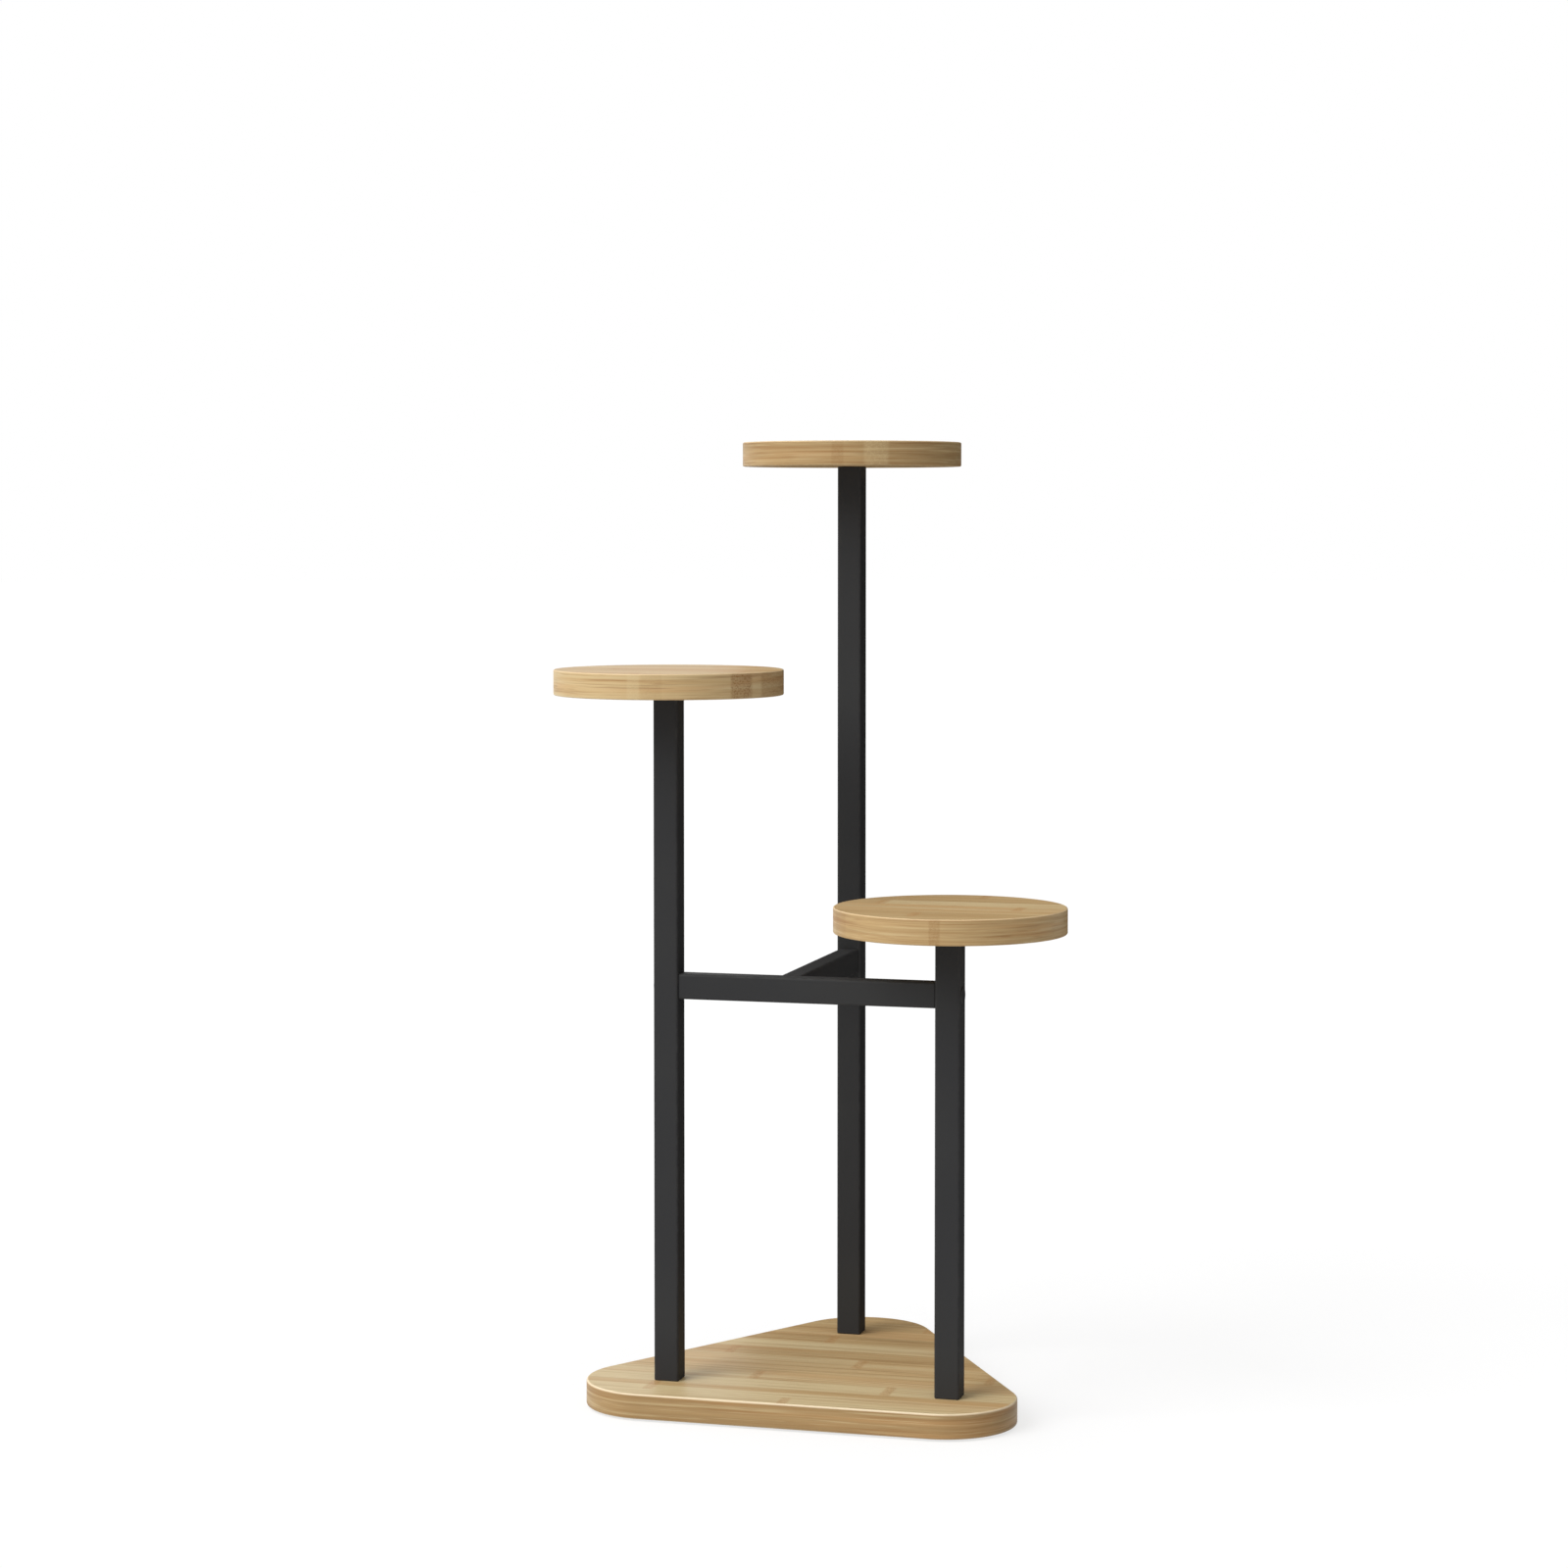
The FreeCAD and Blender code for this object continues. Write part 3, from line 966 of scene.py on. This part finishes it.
# ---- Wooden boards ---------------------------------------------------------
@dataclass
class Tray:
    """One round tray on top of a post."""

    corner: Corner
    first_cane: float
    rim_tone: float
    marks: tuple[RimMark, ...]
    # pale colour on the tray's arrises: partly rubbed wood, partly a painted highlight
    rubbed_and_highlit: Colour = srgb(238, 214, 174)
    edge_radius: float = 1.2 * MM
    hole_radius: float = 4.7 * MM
    hole_depth: float = 12.1 * MM
    flange_radius: float = 6.7 * MM
    flange_depth: float = 1.2 * MM

    def make(self) -> bpy.types.Object:
        """Build and dress the tray.

        Returns:
            The tray.
        """
        low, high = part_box(self.corner.node("tray"))
        radius = (high.x - low.x) / 2
        thickness = high.z - low.z
        profile = plain(
            (0.0, self.hole_depth),
            (self.hole_radius, self.hole_depth),
            (self.hole_radius, self.flange_depth),
            (self.flange_radius, self.flange_depth),
            (self.flange_radius, 0.0),
        )
        for inset, height, arris in eased(thickness, self.edge_radius):
            profile.append((radius - inset, height, arris))
        profile += plain((0.0, thickness))
        tray = turned(self.corner.node("tray_board"), profile, BOARD_SIDES)
        middle = (low + high) / 2
        aim(tray, Vector((middle.x, middle.y, low.z)))
        bamboo = StripBamboo(
            self.corner.node("tray_bamboo"),
            front=low.y,
            middle=middle,
            first_cane=self.first_cane,
            rim_tone=self.rim_tone,
            marks=self.marks,
            rubbed_and_highlit=self.rubbed_and_highlit,
        )
        return dress(tray, bamboo.make(), Slot.WOOD, self.corner.node("tray"))


@dataclass(frozen=True)
class BoardPlan:
    """Rounded equal-sided triangle, worked out from the CAD base board's box."""

    corner_radius: float = 63.0 * MM
    bearings: tuple[float, ...] = (90.0, 210.0, 330.0)     # of the corners, in degrees
    corner_half: float = 60.0                              # half of each corner's turn, in degrees
    corner_steps: int = 40

    def circle(self) -> float:
        """Radius of the circle through the centres of the three corner arcs."""
        return (size_of("base_board")[0] - 2 * self.corner_radius) / math.sqrt(3)

    def middle(self) -> Vector:
        """Middle of the triangle, at the board's underside."""
        low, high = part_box("base_board")
        return Vector(((low.x + high.x) / 2, high.y - self.corner_radius - self.circle(), low.z))

    def outline(self, inset: float) -> Outline:
        """Points round the board about its middle.

        Args:
            inset: How far inside its edge.

        Returns:
            The outline, anticlockwise.
        """
        points: Outline = []
        for bearing in self.bearings:
            angle = math.radians(bearing)
            centre = (self.circle() * math.cos(angle), self.circle() * math.sin(angle))
            start, end = bearing - self.corner_half, bearing + self.corner_half
            points += arc(centre, self.corner_radius - inset, start, end, self.corner_steps)
        return points


@dataclass
class BaseBoard:
    """The rounded triangular board that the posts stand on."""

    plan: BoardPlan
    edge_radius: float = 1.8 * MM
    counterbore_radius: float = 9.0 * MM
    counterbore_depth: float = 8.0 * MM
    bolt_hole_radius: float = 3.3 * MM
    drill_over: float = 1.0 * MM      # how far the drill passes the board's faces
    rim_tone: float = 0.44
    # arrises paled more than the trays': wear and a stronger painted highlight
    wear_and_highlight: float = 0.9
    front_strips: tuple[FrontStrip, ...] = (
        FrontStrip(39.0 * MM, 0.40),
        FrontStrip(52.0 * MM, -0.14),
        FrontStrip(80.0 * MM, 0.18),
    )

    def make(self) -> bpy.types.Object:
        """Build and dress the board.

        Returns:
            The base board.
        """
        low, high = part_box("base_board")
        thickness = high.z - low.z
        middle = self.plan.middle()
        rings = [
            [(middle + Vector((x, y, height)), arris) for x, y, _ in self.plan.outline(inset)]
            for inset, height, arris in eased(thickness, self.edge_radius)
        ]
        board = loft("base_board_bamboo", rings)
        cut(board, [aim(self._drill(thickness), foot(corner)) for corner in Corner])
        bamboo = StripBamboo(
            "base_bamboo",
            front=low.y,
            middle=middle,
            rim_tone=self.rim_tone,
            wear_and_highlight=self.wear_and_highlight,
            front_strips=self.front_strips,
        )
        return dress(board, bamboo.make(), Slot.WOOD, "base_board")

    def _drill(self, thickness: float) -> bpy.types.Object:
        """Cutter for one bolt hole with its counterbore.

        Args:
            thickness: The board's thickness.

        Returns:
            The cutter, with its origin at the board's top.
        """
        floor = self.counterbore_depth - thickness
        profile = plain(
            (0.0, -thickness - self.drill_over),
            (self.counterbore_radius, -thickness - self.drill_over),
            (self.counterbore_radius, floor),
            (self.bolt_hole_radius, floor),
            (self.bolt_hole_radius, self.drill_over),
            (0.0, self.drill_over),
        )
        return turned("drill", profile, ROUND_SIDES)


# ---- Steel frame -----------------------------------------------------------
@dataclass
class SteelTube:
    """Hollow tube with round corners and softly broken ends."""

    width: float
    height: float
    length: float
    wall: float = 1.2 * MM
    corner_radius: float = 2.0 * MM
    least_radius: float = 0.3 * MM     # of the corners inside
    broken: float = 0.7 * MM
    flat_start: int = 3                # where the flats begin, in breaks from the end

    def make(self, name: str) -> bpy.types.Object:
        """Tube along +Z from the origin.

        Args:
            name: The piece's name.

        Returns:
            The tube.
        """
        far = self.length
        flat = self.flat_start * self.broken
        outside = [(self.broken, 0.0), (0.0, self.broken), (0.0, flat)]
        outside += [(0.0, far - flat), (0.0, far - self.broken), (self.broken, far)]
        inside = [(self.wall, far), (self.wall, 0.0)]
        return loft(name, [self._ring(inset, height) for inset, height in outside + inside], closed=True)

    def _ring(self, inset: float, height: float) -> Ring:
        """Rounded rectangle round the tube.

        Args:
            inset: How far inside the tube's outside.
            height: Place along the tube.

        Returns:
            The ring.
        """
        radius = max(self.corner_radius - inset, self.least_radius)
        outline = rounded_rectangle(self.width - 2 * inset, self.height - 2 * inset, radius)
        return [(Vector((px, py, height)), arris) for px, py, arris in outline]


@dataclass
class Post:
    """One upright, drilled for its brace bolt and for the tool that reaches it."""

    corner: Corner
    to_bar: Vector
    bolt_hole_radius: float = 3.3 * MM
    access_radius: float = 6.0 * MM

    def make(self, coat: bpy.types.Material) -> bpy.types.Object:
        """Build and dress the post.

        Args:
            coat: The powder coat.

        Returns:
            The post.
        """
        side, _, length = size_of(self.corner.node("post"))
        post = aim(SteelTube(side, side, length).make(self.corner.node("post_tube")), foot(self.corner))
        for radius, way in ((self.bolt_hole_radius, self.to_bar), (self.access_radius, -self.to_bar)):
            pin = turned("pin", plain((0.0, 0.0), (radius, 0.0), (radius, side), (0.0, side)), SMALL_SIDES)
            cut(post, [aim(pin, joint(self.corner), way)])
        return dress(post, coat, Slot.STEEL, self.corner.node("post"))


@dataclass
class Brace:
    """The welded T that ties the posts together."""

    bead_leg: float = 3.0 * MM
    bead_hollow: float = 0.4 * MM
    bead_pitch: float = 1.7 * MM       # from one ripple to the next
    bead_ripple: float = 0.16 * MM
    bead_bow: float = 1.1              # how strongly each ripple bows between the bead's toes
    bead_end: float = 0.35             # leg at the bead's ends, as a share of the full leg
    bead_taper: float = 14.0           # how fast it grows from there
    bead_rows: int = 96
    bead_columns: int = 10
    bead_crease: float = 75.0

    def make(self, coat: bpy.types.Material) -> list[bpy.types.Object]:
        """Build and dress the brace.

        Args:
            coat: The powder coat.

        Returns:
            The crossbar, the rear bar and the weld.
        """
        length, depth, height = size_of("crossbar")
        crossbar = SteelTube(depth, height, length).make("crossbar_tube")
        low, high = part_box("crossbar")
        middle = (low + high) / 2
        aim(crossbar, Vector((low.x, middle.y, middle.z)), Vector((1, 0, 0)))
        width, length, height = size_of("rear_bar")
        rear_bar = SteelTube(width, height, length).make("rear_bar_tube")
        low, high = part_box("rear_bar")
        middle = (low + high) / 2
        aim(rear_bar, Vector((middle.x, low.y, middle.z)), Vector((0, 1, 0)))
        bottom, top = (corner.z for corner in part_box("brace_weld"))
        beads = [self._bead(x, side, low.y, bottom, top) for x, side in ((low.x, -1), (high.x, 1))]
        return [
            dress(crossbar, coat, Slot.STEEL, "crossbar"),
            dress(rear_bar, coat, Slot.STEEL, "rear_bar"),
            dress(merged("brace_weld_beads", beads), coat, Slot.STEEL, "brace_weld", crease=self.bead_crease),
        ]

    def _bead(self, x: float, side: int, y: float, bottom: float, top: float) -> bpy.types.Object:
        """One upright fillet bead with the ripples of its pool.

        Args:
            x: The rear bar's side face.
            side: 1 for a bead to its right, and -1 to its left.
            y: The crossbar's back face.
            bottom: The bead's lower end.
            top: Its upper end.

        Returns:
            The bead.
        """
        rings = []
        for row in range(self.bead_rows + 1):
            share = row / self.bead_rows
            z = bottom + (top - bottom) * share
            leg = self.bead_leg * min(1.0, self.bead_taper * min(share, 1 - share) + self.bead_end)
            ring = [(Vector((x, y, z)), 0.0)]
            for column in range(self.bead_columns + 1):
                across = column / self.bead_columns
                hump = math.sin(math.pi * across)
                wave = z / self.bead_pitch + self.bead_bow * (across - 0.5) ** 2
                ripple = self.bead_ripple * abs(math.sin(math.pi * wave)) * hump
                inward = (self.bead_hollow * hump - ripple) / math.sqrt(2)
                spot = Vector((x + side * (leg * (1 - across) - inward), y + leg * across - inward, z))
                ring.append((spot, 0.0))
            rings.append(ring)
        return loft("bead", rings)


# ---- Fixings ---------------------------------------------------------------
@dataclass
class HoleCaps:
    """Push-in caps over the posts' access holes, each with a shallow dish."""

    rim: float = 7.5 * MM
    plug: float = 5.9 * MM
    lip: float = 0.8 * MM
    reach: float = 4.2 * MM
    round_edge: float = 0.45 * MM
    lead: float = 0.5 * MM             # bevel on the plug's end
    dish: float = 0.12 * MM
    dish_start: float = 0.6 * MM       # inside the plug's outline
    dish_floor: float = 1.0 * MM       # the same for its floor

    def make(self, posts: Iterable[Post], plastic: bpy.types.Material) -> bpy.types.Object:
        """Build and dress the caps.

        Args:
            posts: The posts that they close.
            plastic: Their material.

        Returns:
            The three caps as one piece.
        """
        caps = []
        for post in posts:
            side, _, _ = size_of(post.corner.node("post"))
            caps.append(aim(self._cap(), joint(post.corner) - post.to_bar * side / 2, -post.to_bar))
        return dress(merged("hole_cap_mouldings", caps), plastic, Slot.PLASTIC, "hole_caps")

    def _cap(self) -> bpy.types.Object:
        """One cap.

        Returns:
            The cap, with the post's face at its origin.
        """
        centre = (self.rim - self.round_edge, self.lip - self.round_edge)
        end, floor = -self.reach, self.lip - self.dish
        profile = plain((0.0, end), (self.plug - self.lead, end), (self.plug, end + self.lead))
        profile += plain((self.plug, 0.0), (self.rim, 0.0))
        profile += arc(centre, self.round_edge, 0, 90, SMALL_ARRIS_STEPS)
        profile += plain((self.plug - self.dish_start, self.lip), (self.plug - self.dish_floor, floor))
        return turned("cap", profile + plain((0.0, floor)), ROUND_SIDES)


@dataclass
class BaseBolts:
    """Button-head bolts with washers, in the counterbores under the base board."""

    head_radius: float = 5.25 * MM
    head_height: float = 3.3 * MM
    head_flat: float = 3.25 * MM
    head_steps: int = 8
    rim_height: float = 1.1 * MM
    shank_radius: float = 3.0 * MM
    shank_bevel: float = 0.7 * MM
    thread_start: float = 3.0 * MM     # from the head's seat
    thread_end: float = 0.8 * MM       # from the bolt's end
    thread_depth: float = 0.45         # as a share of the pitch
    pitch: float = 1.0 * MM
    socket: float = 4.0 * MM
    socket_depth: float = 2.0 * MM
    socket_over: float = 1.0 * MM      # how far the socket's cutter passes the head
    washer_bore: float = 3.3 * MM
    washer_edge: float = 0.3 * MM

    def make(self, zinc: bpy.types.Material) -> list[bpy.types.Object]:
        """Build and dress the bolts and washers.

        Args:
            zinc: Their plating.

        Returns:
            The bolts and the washers, each as one piece.
        """
        washer_low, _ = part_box("base_washers")
        bolt_low, bolt_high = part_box("base_bolts")
        seat = bolt_low.z + self.head_height
        bolts, washers = [], []
        for corner in Corner:
            x, y = foot(corner).xy
            bolts.append(aim(self._bolt(bolt_high.z - seat), Vector((x, y, seat))))
            washers.append(aim(self._washer(), Vector((x, y, washer_low.z))))
        return [
            dress(merged("base_bolt_set", bolts), zinc, Slot.ZINC, "base_bolts"),
            dress(merged("base_washer_set", washers), zinc, Slot.ZINC, "base_washers"),
        ]

    def _bolt(self, length: float) -> bpy.types.Object:
        """One bolt with rolled thread rings and a hexagonal socket.

        Args:
            length: From the head's seat to the end.

        Returns:
            The bolt, with its seat at the origin.
        """
        head, shank, bevel = self.head_radius, self.shank_radius, self.shank_bevel
        profile = [(0.0, -self.head_height)]
        for step in range(self.head_steps + 1):
            share = step / self.head_steps
            radius = self.head_flat + (head - self.head_flat) * share
            drop = (self.head_height - self.rim_height) * (1 - math.sqrt(max(0.0, 1 - share**2)))
            profile.append((radius, drop - self.head_height))
        profile += [(head, 0.0), (shank, 0.0)]
        for turn in range(int((length - self.thread_start - self.thread_end) / self.pitch)):
            z = self.thread_start + turn * self.pitch
            profile += [(shank, z), (shank - self.thread_depth * self.pitch, z + self.pitch / 2)]
        profile += [(shank, length - bevel), (shank - bevel, length), (0.0, length)]
        bolt = turned("bolt", plain(*profile), SMALL_SIDES)
        reach = self.socket / math.sqrt(3)
        angles = [math.radians(60 * side) for side in range(6)]
        rings = [
            [(Vector((reach * math.cos(angle), reach * math.sin(angle), z)), 0.0) for angle in angles]
            for z in (-self.head_height - self.socket_over, self.socket_depth - self.head_height)
        ]
        cut(bolt, [loft("socket", rings)])
        return bolt

    def _washer(self) -> bpy.types.Object:
        """One washer, sized by the box round all three.

        Returns:
            The washer, with its lower face at the origin.
        """
        span, _, thickness = size_of("base_washers")
        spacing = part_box("right_post")[0].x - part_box("left_post")[0].x
        outer = (span - spacing) / 2
        bore, edge = self.washer_bore, self.washer_edge
        lower = [(bore, edge), (bore + edge, 0.0), (outer - edge, 0.0), (outer, edge)]
        upper = [(radius, thickness - height) for radius, height in reversed(lower)]
        return turned("washer", plain(*lower, *upper), ROUND_SIDES)


@dataclass
class FloorPads:
    """Felt pads under the base board's corners."""

    plan: BoardPlan
    diameter: float = 26.0 * MM
    inset: float = 25.0 * MM           # of their middles from the board's corners
    round_edge: float = 0.7 * MM

    def make(self, felt: bpy.types.Material) -> bpy.types.Object:
        """Build and dress the pads.

        Args:
            felt: Their material.

        Returns:
            The three pads as one piece.
        """
        low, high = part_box("foot_pads")
        middle = self.plan.middle()
        reach = self.plan.circle() + self.plan.corner_radius - self.inset
        pads = []
        for bearing in self.plan.bearings:
            angle = math.radians(bearing)
            spot = Vector((middle.x + reach * math.cos(angle), middle.y + reach * math.sin(angle), low.z))
            pads.append(aim(self._pad(high.z - low.z), spot))
        return dress(merged("felt_pad_set", pads), felt, Slot.FELT, "foot_pads")

    def _pad(self, thickness: float) -> bpy.types.Object:
        """One pad with a soft lower edge.

        Args:
            thickness: Its thickness.

        Returns:
            The pad.
        """
        radius = self.diameter / 2
        edge = arc((radius - self.round_edge, self.round_edge), self.round_edge, -90, 0, SMALL_ARRIS_STEPS)
        profile = plain((0.0, 0.0)) + edge + plain((radius, thickness), (0.0, thickness))
        return turned("pad", profile, ROUND_SIDES)


@dataclass
class HiddenFixings:
    """Fixings inside the tubes and boards, which keep their CAD shape."""

    zinc_nodes: tuple[str, ...] = ("brace_bolts", "tray_studs")
    plate_parts: tuple[str, ...] = ("foot_plate", "top_plate", "bar_plate")
    brass_nodes: tuple[str, ...] = ("tray_inserts",)

    def make(self, zinc: bpy.types.Material, brass: bpy.types.Material) -> None:
        """Give each its finish.

        Args:
            zinc: Plating of the plates, bolts and studs.
            brass: Metal of the inserts.
        """
        plates = [corner.node(part) for corner in Corner for part in self.plate_parts]
        finishes = {name: zinc for name in (*self.zinc_nodes, *plates)}
        finishes.update({name: brass for name in self.brass_nodes})
        for name, finish in finishes.items():
            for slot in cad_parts[name].material_slots:
                slot.material = finish
            log.info("%s: CAD shape, %s", name, finish.name)


# ---- Studio ----------------------------------------------------------------
@dataclass(frozen=True)
class SunLamp:
    """Broad lamp at a bearing from the camera's own."""

    name: str
    azimuth: float               # degrees to the right of the camera, seen from the stand
    elevation: float             # degrees above the floor
    strength: float
    spread: float                # how wide the lamp looks, in degrees

    def make(self, heading: float) -> None:
        """Hang the lamp.

        Args:
            heading: The camera's heading, in degrees.
        """
        lamp = bpy.data.lights.new(self.name, "SUN")
        lamp.energy = self.strength
        lamp.angle = math.radians(self.spread)
        bearing = math.radians(heading + self.azimuth)
        rise = math.radians(self.elevation)
        out = math.cos(rise)
        source = Vector((math.sin(bearing) * out, -math.cos(bearing) * out, math.sin(rise)))
        hung = in_scene(self.name, lamp)
        hung.rotation_mode = "QUATERNION"
        hung.rotation_quaternion = source.to_track_quat("Z", "Y")


@dataclass
class Studio:
    """Pale floor, soft light from the left and the photograph's point of view."""

    eye: Vector = field(default_factory=lambda: Vector((812.8, -3128.7, 780.0)) * MM)
    heading: float = 15.449                                # degrees to the left of +Y
    pitch: float = 2.754                                   # degrees below the horizon
    lens: float = 83.63                                    # in millimetres, as is the sensor's width
    sensor: float = 36.0
    rise: float = -0.06                                    # shift of the frame, as a share of its width
    far: float = 200.0                                     # how far it sees, in metres
    sky: float = 0.50                                      # plain light from all round
    lean: float = 0.85                                     # how much more comes from the left than the right
    lamps: tuple[SunLamp, ...] = (
        SunLamp("key_light", azimuth=-54.0, elevation=38.0, strength=2.05, spread=42.0),
        SunLamp("top_light", azimuth=20.0, elevation=78.0, strength=0.55, spread=50.0),
    )
    floor_rings: tuple[float, ...] = (0.6, 2.5, 40.0)      # radii
    floor_glow: float = 0.72                               # share of plain white in what is seen
    floor_shade: Colour = srgb(206, 206, 206)              # for bounced light
    card_shade: Colour = srgb(22, 22, 22)
    card_bearings: tuple[float, float] = (-30.0, 75.0)     # degrees to the right of +Y
    card_foot: float = 0.16                                # it lies on the floor from here
    card_lift: float = 0.5 * MM
    card_distance: float = 0.36                            # and stands upright here
    card_height: float = 1.1
    card_panels: int = 24

    def make(self) -> None:
        """Build the camera, the floor, the world, the lamps and the card."""
        self._view()
        self._floor()
        self._world()
        for lamp in self.lamps:
            lamp.make(self.heading)
        self._card()

    def _view(self) -> None:
        """Camera at the photograph's angle."""
        camera = in_scene("camera", bpy.data.cameras.new("camera"))
        camera.location = self.eye
        camera.rotation_euler = (math.radians(90 - self.pitch), 0.0, math.radians(self.heading))
        camera.data.lens = self.lens
        camera.data.sensor_width = self.sensor
        camera.data.shift_y = self.rise
        camera.data.clip_end = self.far
        bpy.context.scene.camera = camera
        bpy.context.scene.view_settings.view_transform = "Standard"

    def _floor(self) -> None:
        """Round pale floor that carries the stand's shadow."""
        mesh = bmesh.new()
        angles = [math.tau * side / ROUND_SIDES for side in range(ROUND_SIDES)]
        rows = [
            [mesh.verts.new((reach * math.cos(angle), reach * math.sin(angle), 0.0)) for angle in angles]
            for reach in self.floor_rings
        ]
        mesh.faces.new(rows[0])
        for inner, outer in zip(rows, rows[1:]):
            for index in range(len(inner)):
                after = (index + 1) % len(inner)
                mesh.faces.new((inner[index], outer[index], outer[after], inner[after]))
        floor = as_piece("studio_floor", mesh)
        floor.data.materials.append(self._floor_paint())

    def _card(self) -> None:
        """Black card behind the stand on the right, which only reflections see.

        It keeps the sides of the posts as dark as in the photograph.
        """
        mesh = bmesh.new()
        start, end = self.card_bearings
        rows = []
        for step in range(self.card_panels + 1):
            angle = math.radians(start + (end - start) * step / self.card_panels)
            way = Vector((math.sin(angle), math.cos(angle), 0.0))
            near = way * self.card_foot
            bend = way * self.card_distance
            near.z = bend.z = self.card_lift
            top = bend + Vector((0, 0, self.card_height))
            rows.append([mesh.verts.new(spot) for spot in (near, bend, top)])
        for before, after in zip(rows, rows[1:]):
            for low in range(len(before) - 1):
                mesh.faces.new((before[low], after[low], after[low + 1], before[low + 1]))
        card = as_piece("studio_black_card", mesh)
        paint = Graph.material("studio_black_card")
        card.data.materials.append(
            paint.surface(Base_Color=self.card_shade, Roughness=1.0, Specular_IOR_Level=0.0)
        )
        card.visible_camera = False
        card.visible_diffuse = False
        card.visible_shadow = False

    def _floor_paint(self) -> bpy.types.Material:
        """White where it is seen, with a light shadow, and pale grey as a source of bounced light.

        From below it lets the stand's underside show.

        Returns:
            The floor's material.
        """
        g = Graph.material("studio_floor")
        seen = self._seen(g)
        matt = g.wire("BsdfDiffuse", {"Color": g.mix(seen, self.floor_shade, WHITE)})
        lit = g.wire("Emission", {"Strength": 1.0})
        top = g.wire("MixShader", (g.maths("MULTIPLY", seen, self.floor_glow), matt, lit))
        below = g.add("NewGeometry").outputs["Backfacing"]
        return g.close(g.wire("MixShader", (below, top, g.wire("BsdfTransparent", ()))))

    @staticmethod
    def _seen(g: Graph) -> Socket:
        """Whether a ray comes from the camera or through gloss or glass.

        Args:
            g: The graph of a material or the world.

        Returns:
            1 for such a ray, and 0 for bounced light.
        """
        path = g.add("LightPath")
        straight = g.maths("MAXIMUM", path.outputs["Is Camera Ray"], path.outputs["Is Glossy Ray"])
        return g.maths("MAXIMUM", straight, path.outputs["Is Transmission Ray"])

    def _world(self) -> None:
        """White surroundings, whose light on the stand leans to the left."""
        world = bpy.data.worlds.new("studio")
        bpy.context.scene.world = world
        g = Graph(world)
        ray_x, ray_y, _ = g.split(g.add("TexCoord").outputs["Generated"])
        turn = math.radians(self.heading)
        across = g.maths("MULTIPLY_ADD", ray_x, -math.cos(turn), g.maths("MULTIPLY", ray_y, -math.sin(turn)))
        light = g.maths("MULTIPLY_ADD", across, self.sky * self.lean, self.sky)
        strength = g.blend(self._seen(g), light, 1.0)
        g.close(g.wire("Background", {"Color": WHITE, "Strength": strength}))


def main() -> None:
    """Build the stand's pieces in order."""
    logging.basicConfig(level=logging.INFO, format="%(message)s")
    Studio().make()
    plan = BoardPlan()
    BaseBoard(plan).make()
    trays = [
        Tray(
            Corner.LEFT,
            first_cane=0.0,
            rim_tone=-0.10,
            marks=(
                RimMark(-0.7 * MM, 5.4 * MM, -0.42),
                RimMark(15.0 * MM, 9.0 * MM, 0.16),
                # These two darken the rim's right end: partly cane joints, partly painted shade.
                RimMark(82.0 * MM, 6.5 * MM, 0.75),
                RimMark(98.0 * MM, 4.5 * MM, 0.55),
            ),
        ),
        Tray(
            Corner.RIGHT,
            first_cane=0.67,
            rim_tone=0.18,
            marks=(RimMark(9.0 * MM, 4.6 * MM, 0.42), RimMark(-82.0 * MM, 7.0 * MM, 0.22)),
        ),
        Tray(
            Corner.REAR,
            first_cane=0.31,
            rim_tone=0.32,
            marks=(RimMark(12.0 * MM, 5.4 * MM, 0.34), RimMark(45.0 * MM, 10.0 * MM, -0.42)),
        ),
    ]
    for tray in trays:
        tray.make()
    coat = PowderCoat().make()
    posts = [
        Post(Corner.LEFT, Vector((1, 0, 0))),
        Post(Corner.RIGHT, Vector((-1, 0, 0))),
        Post(Corner.REAR, Vector((0, -1, 0))),
    ]
    for post in posts:
        post.make(coat)
    Brace().make(coat)
    HoleCaps().make(posts, MouldedPlastic().make())
    zinc = PlatedMetal("zinc_plating", srgb(200, 203, 208), srgb(160, 164, 170), 0.26).make()
    brass = PlatedMetal("turned_brass", srgb(214, 176, 96), srgb(176, 138, 70), 0.28).make()
    BaseBolts().make(zinc)
    FloorPads(plan).make(Felt().make())
    HiddenFixings().make(zinc, brass)


if __name__ == "__main__":
    main()
